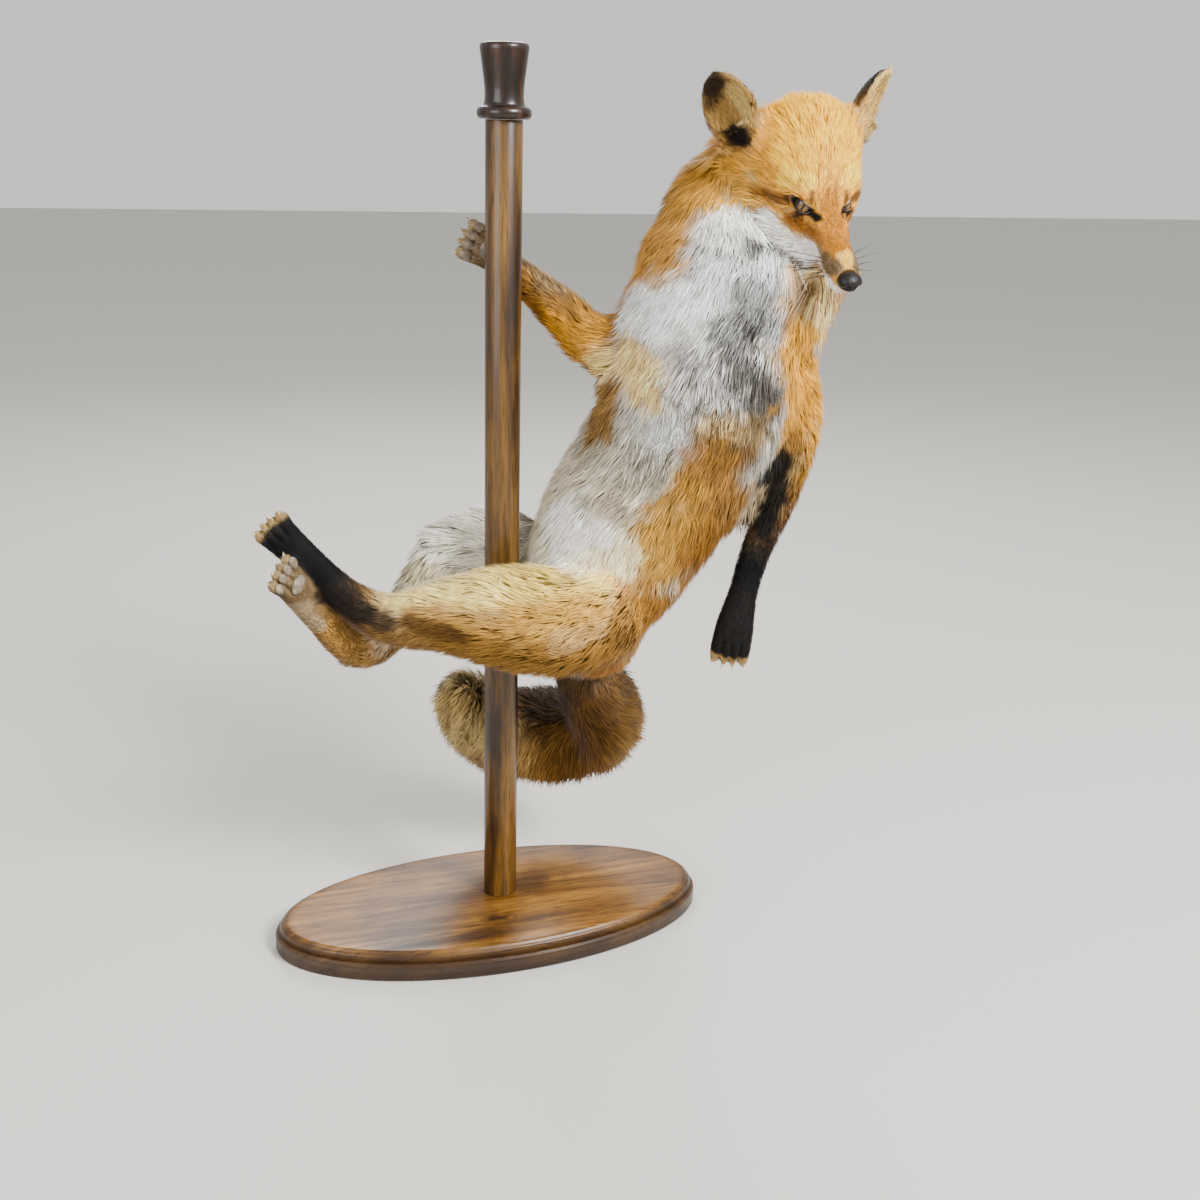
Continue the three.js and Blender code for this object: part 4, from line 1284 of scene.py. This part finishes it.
# ---------------------------------------------------------------- whiskers
# Long stiff black whiskers in four rows on each lip, thinning to hair-fine tips.
WHISKER_ROWS = [(62, -14), (60, -19), (57, -24), (53, -28)]  # forward and up, head's frame
WHISKER_STEPS = 7
WHISKER_ROOT_RADIUS = 0.3
WHISKER_TIP_RADIUS = 0.05
THIRDS = (0, 2.094, 4.189)  # of a turn, in radians
whiskers = bmesh.new()
rng = np.random.default_rng(31)
for side in (1, -1):
    for row, (front, up) in enumerate(WHISKER_ROWS):
        for k in range(4):
            start = np.array([front - 6.5 * k, side * 26, up - 1.2 * k])
            root = smooth_face.ray_cast(
                Vector(from_head(start)), Vector(head_axes @ np.array([0, -side, 0.0])), 60
            )[0]
            if root is None:
                continue
            root = np.array(root)
            length = (26 + 12 * k - 3 * row) * rng.uniform(0.85, 1.15)
            aim = np.array([-0.25 - 0.14 * k, side * 1.0, -0.28 - 0.12 * row])
            aim = head_axes @ unit(aim + rng.normal(0, 0.1, 3))
            sag = head_axes @ np.array([-0.35, side * 0.1, -0.5]) * rng.uniform(0.5, 1.2)
            rings = []
            for t in np.linspace(0, 1, WHISKER_STEPS):
                middle = root + length * (t * aim + 0.32 * t * t * sag)
                ahead = unit(aim + 0.64 * t * sag)
                across = unit(np.cross(ahead, (0.3, 0.1, 1.0)))
                other = np.cross(ahead, across)
                thick = WHISKER_ROOT_RADIUS * (1 - t) ** 0.8 + WHISKER_TIP_RADIUS
                rings.append([
                    whiskers.verts.new(
                        (middle + thick * (math.cos(a) * across + math.sin(a) * other)) * MM
                    )
                    for a in THIRDS
                ])
            for ring, after in zip(rings, rings[1:]):
                join_rings(whiskers, ring, after)
            whiskers.faces.new(rings[0][::-1])
            whiskers.faces.new(rings[-1])
bmesh.ops.recalc_face_normals(whiskers, faces=whiskers.faces)
whisker_black, tree, shader = start_material("whisker_black")
set_inputs(shader, {"Base Color": hex_color("15110E"), "Roughness": 0.4})
whisker_object = make_object("whiskers", whiskers, whisker_black)
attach(whisker_object, "root")

# ---------------------------------------------------------------- coat
# Thin flattened locks of hair that overlap like shingles and lie away from the head, each a
# closed sliver, widest at its bend and fine at both ends. Neighbours lean into clumps.
# piece, line, first and last station of the line, how many locks
COAT = [
    ("coat_neck", ("trunk",), 0, 15, 29000), ("coat_chest", ("trunk",), 15, 27, 29000),
    ("coat_belly", ("trunk",), 27, 99, 25000), ("coat_face", ("head",), 0, 30, 33000),
    ("coat_head_back", ("head",), 30, 99, 23000),
    ("coat_ears", ("ear_left", "ear_right"), 0, 99, 14000),
    ("coat_arm_left", ("arm_left",), 0, 99, 16000),
    ("coat_arm_right", ("arm_right",), 0, 99, 13000),
    ("coat_leg_left", ("leg_left",), 0, 99, 25000),
    ("coat_leg_right", ("leg_right",), 0, 99, 19000),
    ("coat_tail", ("tail",), 0, 99, 29000),
]
CURL_CENTRE = (76, 60, 208)
UNDER_THIGH = (46, 112, 196)
OUT_OF_SKIN = 2.27  # length of a lock over the depth of the coat
ROOT_ANGLE = 0.6  # how steeply a lock leaves the skin, in radians, and lies at its tip
TIP_ANGLE = 0.33
LOCK_THICKNESS = 0.34  # of its width
FINEST_LOCK = 0.5
WIDEST_LOCK = 1.65
FILL_UNDER_THIGH = 8  # how far the tail's locks stray past the outline there
# how far the skin is bare round the nose, the pole, the toes and the slit of the eyes
BARE_NOSE = 11.5
BARE_POLE = 1.2
BARE_TOE = 3.0
BARE_EYE = 1.22
LONG_EAR_HAIRS = 0.16  # their share of the hairs on the ears' inner rims
CLUMP_OF = 8  # locks
# how much paler or darker a lock is at its root, along its bend and at its tip
ROOT_TO_TIP = np.array([-0.42, -0.07, 0.02, -0.07, 0.18])
MAP_ACROSS = 4  # cells of the unwrap, and the size of one lock on it
MAP_DOWN = 3
PATCH = 0.003
coat_rng = np.random.default_rng(7)
points, edges, normals = surface_of(skin)
even = unit(relax(normals, edges, 0.5, 8))
share, station = place_on_lines(points)
depth = blend_lines(share, station, depth_values)[:, 0]
flow = blend_lines(share, station, heading_values)
local = to_head(points)
head_share = share[:, line_names.index("head")]
tail_line = line_names.index("tail")
# on the head the hair runs back from the nose, outwards over the cheeks
y_side = np.sign(local[:, 1])
y_out = np.clip(abs(local[:, 1]) / 60, 0, 1)
on_brow = smoothstep(-6, 18, local[:, 2])
outwards = y_side * y_out * (0.9 - 0.7 * on_brow)
upwards = -0.3 * (1 - on_brow) + 0.12 * on_brow
swept = np.stack([-np.ones(len(points)), outwards, upwards], axis=1)
on_face = head_share[:, None]
flow = flow * (1 - on_face) + unit(swept) @ head_axes.T * on_face
# on the ears it runs towards the tip as well
for k in ear_lines:
    flow += share[:, k, None] * heading_values[k][station[:, k]] * 0.5
# on the curled tail the hair stands out from the middle of the curl
outward = unit((points - CURL_CENTRE) * (1, 0.35, 1))
on_tail = (share[:, tail_line] * smoothstep(2, 9, station[:, tail_line]))[:, None]
flow = flow * (1 - 0.65 * on_tail) + (outward + (0, 0, -0.2)) * on_tail
# and hangs from its far end
end = share[:, tail_line] * smoothstep(28, 40, station[:, tail_line])
flow = flow + 2.5 * end[:, None] * np.array([-0.45, -0.3, -0.85])
flow = relax(flow, edges, 0.5, 6)
# the coat swirls a little from place to place
swirl = 0.28 * mottle(points, 26, 9)[:, None] + 0.2 * mottle(points, 11, 10)[:, None]
flow = unit(flow) + swirl * np.cross(even, unit(flow)) * smoothstep(1, 6, depth)[:, None]
color = markings(points + even * depth[:, None], even, share, station)
# grey places are a mix of dark roots and white tips
colorful = (color.max(axis=1) - color.min(axis=1)) / np.maximum(color.max(axis=1), 0.02)
grizzled = smoothstep(0.45, 0.12, colorful) * smoothstep(0.62, 0.3, color[:, 1])
grizzled *= smoothstep(0.03, 0.12, color[:, 1])
ticking = blend_lines(share, station, tick_values)[:, 0] * 0.7 + GRIZZLE * grizzled
main_line = share.argmax(axis=1)

# the outline of the coat, out to its tips
outline_points, outline_faces = [], []
for name in flesh:
    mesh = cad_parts[name].data
    spots = read(mesh.vertices, "co", 3).astype(float) / MM
    offset = len(outline_points)
    outline_points += [Vector(p) for p in spots]
    outline_faces += [tuple(offset + v for v in p.vertices) for p in mesh.polygons]
outline = BVHTree.FromPolygons(outline_points, outline_faces)

skin.calc_loop_triangles()
corners = read(skin.loop_triangles, "vertices", 3, np.int32)
a, b, c = (points[corners[:, i]] for i in range(3))
area = np.linalg.norm(np.cross(b - a, c - a), axis=1) / 2
tri_line = main_line[corners[:, 0]]
tri_station = station[corners[:, 0], tri_line]
lock_width = np.clip(0.42 + 0.075 * depth, FINEST_LOCK, WIDEST_LOCK)
tri_width = lock_width[corners].mean(axis=1)
# no locks under the nose leather, in the eyes, or where the paws hold the pole
middle = (a + b + c) / 3
bare = np.linalg.norm(to_head(middle) - NOSE_AT, axis=1) < BARE_NOSE
for side in (1, -1):
    centre, inner, up, out = eye_frame(side)
    at = to_head(middle) - centre
    opening = almond(at @ inner, at @ up)
    bare |= (opening < BARE_EYE) & (at @ out > 0) & (at @ out < 30)
bare |= (np.hypot(middle[:, 0] - POLE_X, middle[:, 1] - POLE_Y) < POLE_RADIUS + BARE_POLE)
for toe in toe_spots:
    bare |= np.linalg.norm(middle - toe, axis=1) < BARE_TOE


def atlas_place(lines_at, stations_at, roots):
    """The root's place on the unwrap: along its line by round it, one cell to a line."""
    spot = np.zeros((len(roots), 2))
    for k, (centres, _, _, heading) in enumerate(curves):
        here = lines_at == k
        if not here.any():
            continue
        s = stations_at[here]
        arm = roots[here] - centres[s]
        first = unit(np.cross(heading[s], (0.31, 0.86, 0.41)))
        second = np.cross(heading[s], first)
        along = (s + np.clip((arm * heading[s]).sum(axis=1) / 8, -0.5, 0.5) + 0.5) / len(centres)
        around = np.arctan2((arm * second).sum(axis=1), (arm * first).sum(axis=1))
        cell_x, cell_y = k % MAP_ACROSS, k // MAP_ACROSS
        spot[here, 0] = (cell_x + 0.03 + 0.94 * np.clip(along, 0, 1)) / MAP_ACROSS
        spot[here, 1] = (cell_y + 0.03 + 0.94 * (around / (2 * math.pi) + 0.5)) / MAP_DOWN
    return spot


RING = np.array([(1.0, -0.35), (0.0, 0.65), (-1.0, -0.35)])  # across and off the skin
FACES = np.array([(0, 2, 1), (0, 3, 2), (0, 1, 3), (1, 2, 4), (2, 3, 4), (3, 1, 4)])
PATCH_AT = PATCH * np.array([(0.0, -0.5), (-0.5, 0.0), (0.0, 0.1), (0.5, 0.0), (0.0, 0.5)])
for piece, lines, first_station, last_station, amount in COAT:
    indices = [line_names.index(name) for name in lines]
    mine = np.isin(tri_line, indices) & (tri_station >= first_station) & (tri_station < last_station)
    weight = np.where(mine & ~bare, area / tri_width**1.5, 0)
    pick = coat_rng.choice(len(area), amount, p=weight / weight.sum())
    u, v = coat_rng.random((2, amount, 1))
    over = (u + v) > 1
    u, v = np.where(over, 1 - u, u), np.where(over, 1 - v, v)

    def at_roots(values):
        return (
            values[corners[pick, 0]] * (1 - u - v) + values[corners[pick, 1]] * u
            + values[corners[pick, 2]] * v
        )

    root = at_roots(points)
    normal = unit(at_roots(even))
    deep = at_roots(depth[:, None])
    way = at_roots(flow)
    way = unit(way - normal * (way * normal).sum(axis=1, keepdims=True))
    across = np.cross(normal, way)
    width = at_roots(lock_width[:, None]) * coat_rng.uniform(0.6, 1.3, (amount, 1))
    length = OUT_OF_SKIN * deep * coat_rng.uniform(0.75, 1.15, (amount, 1)) + 1.3
    if piece == "coat_ears":
        # long pale hairs cross the hollow of the ear from its inner rim
        inner_rim = (to_head(normal + root) - to_head(root)) @ (0.6, 0, 0.3) > 0.25
        long_hair = inner_rim & (coat_rng.random(amount) < LONG_EAR_HAIRS) & (deep[:, 0] < 3)
        length[long_hair] = coat_rng.uniform(8, 15, (long_hair.sum(), 1))
    drift = coat_rng.normal(0, 0.17, (amount, 1))
    way = unit(way + drift * across)
    across = np.cross(normal, way)
    rise = coat_rng.normal(0, 0.07, (amount, 1))
    low = unit(way * math.cos(ROOT_ANGLE) + normal * (math.sin(ROOT_ANGLE) + rise))
    high = unit(way * math.cos(TIP_ANGLE) + normal * (math.sin(TIP_ANGLE) + rise))
    sunk = root - normal * np.minimum(1.0, 0.4 * deep + 0.3)
    middle = sunk + low * length * 0.5
    tip = middle + high * length * 0.5
    # neighbours lean together towards the lock in the middle of their clump
    chief = coat_rng.choice(amount, amount // CLUMP_OF, replace=False)
    chiefs = KDTree(len(chief))
    for i, index in enumerate(chief):
        chiefs.insert(root[index], i)
    chiefs.balance()
    leader = chief[[chiefs.find(spot)[1] for spot in root]]
    pull = (0.34 * smoothstep(1.5, 8, deep) + 0.12) * coat_rng.uniform(0.5, 1.4, (amount, 1))
    gather = tip[leader] + (root - root[leader]) * 0.25
    tip = tip * (1 - pull) + gather * pull
    gather = middle[leader] + (root - root[leader]) * 0.6
    middle = middle * (1 - 0.6 * pull) + gather * 0.6 * pull
    stray = coat_rng.uniform(0, 1, amount) ** 3 * np.clip(deep[:, 0], 1, 12) * 0.4
    if piece == "coat_tail":
        # a loose brush, and it fills the space under the thigh
        near_thigh = smoothstep(44, 26, np.linalg.norm(root - UNDER_THIGH, axis=1))
        stray = stray * 2 + FILL_UNDER_THIGH * near_thigh
    # the tips end at the outline of the coat
    for spots, slack in ((middle, 0.4 + 0.5 * stray), (tip, 1.0 + stray)):
        for i, spot in enumerate(spots):
            near, _, _, far = outline.find_nearest(Vector(spot))
            off = (Vector(spot) - near) / max(far, 1e-6)
            reach = slack[i] * (1 - 0.85 * max(off.y, 0))
            if far > reach and off.dot(Vector(normal[i])) > 0:
                spots[i] = near + off * reach
    middle_ring = (
        middle[:, None] + RING[None, :, :1] * (across * width * 0.5)[:, None]
        + RING[None, :, 1:] * (normal * width * LOCK_THICKNESS)[:, None]
    )
    verts = np.concatenate([sunk[:, None], middle_ring, tip[:, None]], axis=1)
    clear_of_pole(verts, HAIR_TO_POLE)
    tick = at_roots(ticking[:, None])
    shade = coat_rng.normal(0, 0.7, (amount, 1))
    tuft_shade = coat_rng.normal(0, 0.9, (len(chief), 1))
    order = np.zeros(amount, int)
    order[chief] = np.arange(len(chief))
    shade = np.exp(tick * np.clip(shade + tuft_shade[order[leader]], -2.5, 2))
    seen = 0.5 * middle + 0.5 * tip
    hue = markings(seen, normal, at_roots(share), station[corners[pick, 0]]) * shade
    # the more so where the coat is grizzled
    root_to_tip = ROOT_TO_TIP[None, :, None] * (0.6 + 2.6 * tick)[:, None]
    faces = (FACES[None] + 5 * np.arange(amount)[:, None, None]).reshape(-1, 3)

    mesh = bpy.data.meshes.new(piece)
    mesh.vertices.add(amount * 5)
    mesh.vertices.foreach_set("co", (verts * MM).astype(np.float32).ravel())
    mesh.loops.add(len(faces) * 3)
    mesh.loops.foreach_set("vertex_index", faces.astype(np.int32).ravel())
    mesh.polygons.add(len(faces))
    mesh.polygons.foreach_set("loop_start", np.arange(0, len(faces) * 3, 3, dtype=np.int32))
    mesh.update(calc_edges=True)
    paint(mesh, (1 + root_to_tip) * hue[:, None])
    spot = atlas_place(tri_line[pick], tri_station[pick], root)
    flat = (spot[:, None] + PATCH_AT[None]).reshape(-1, 2)[faces.ravel()]
    uv_map = mesh.uv_layers.new(name="OFBake")
    uv_map.data.foreach_set("uv", flat.astype(np.float32).ravel())
    made = make_object(piece, mesh, coat_hair)
    own = read(mesh.vertex_normals, "vector", 3).astype(float)
    bent = unit(own * 0.45 + np.repeat(normal, 5, axis=0) * 0.9)
    mesh.normals_split_custom_set_from_vertices([tuple(n) for n in bent])
    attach(made, "root")

size = {"cad": [list(v) for v in cad_box], "visual": [list(v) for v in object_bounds()]}
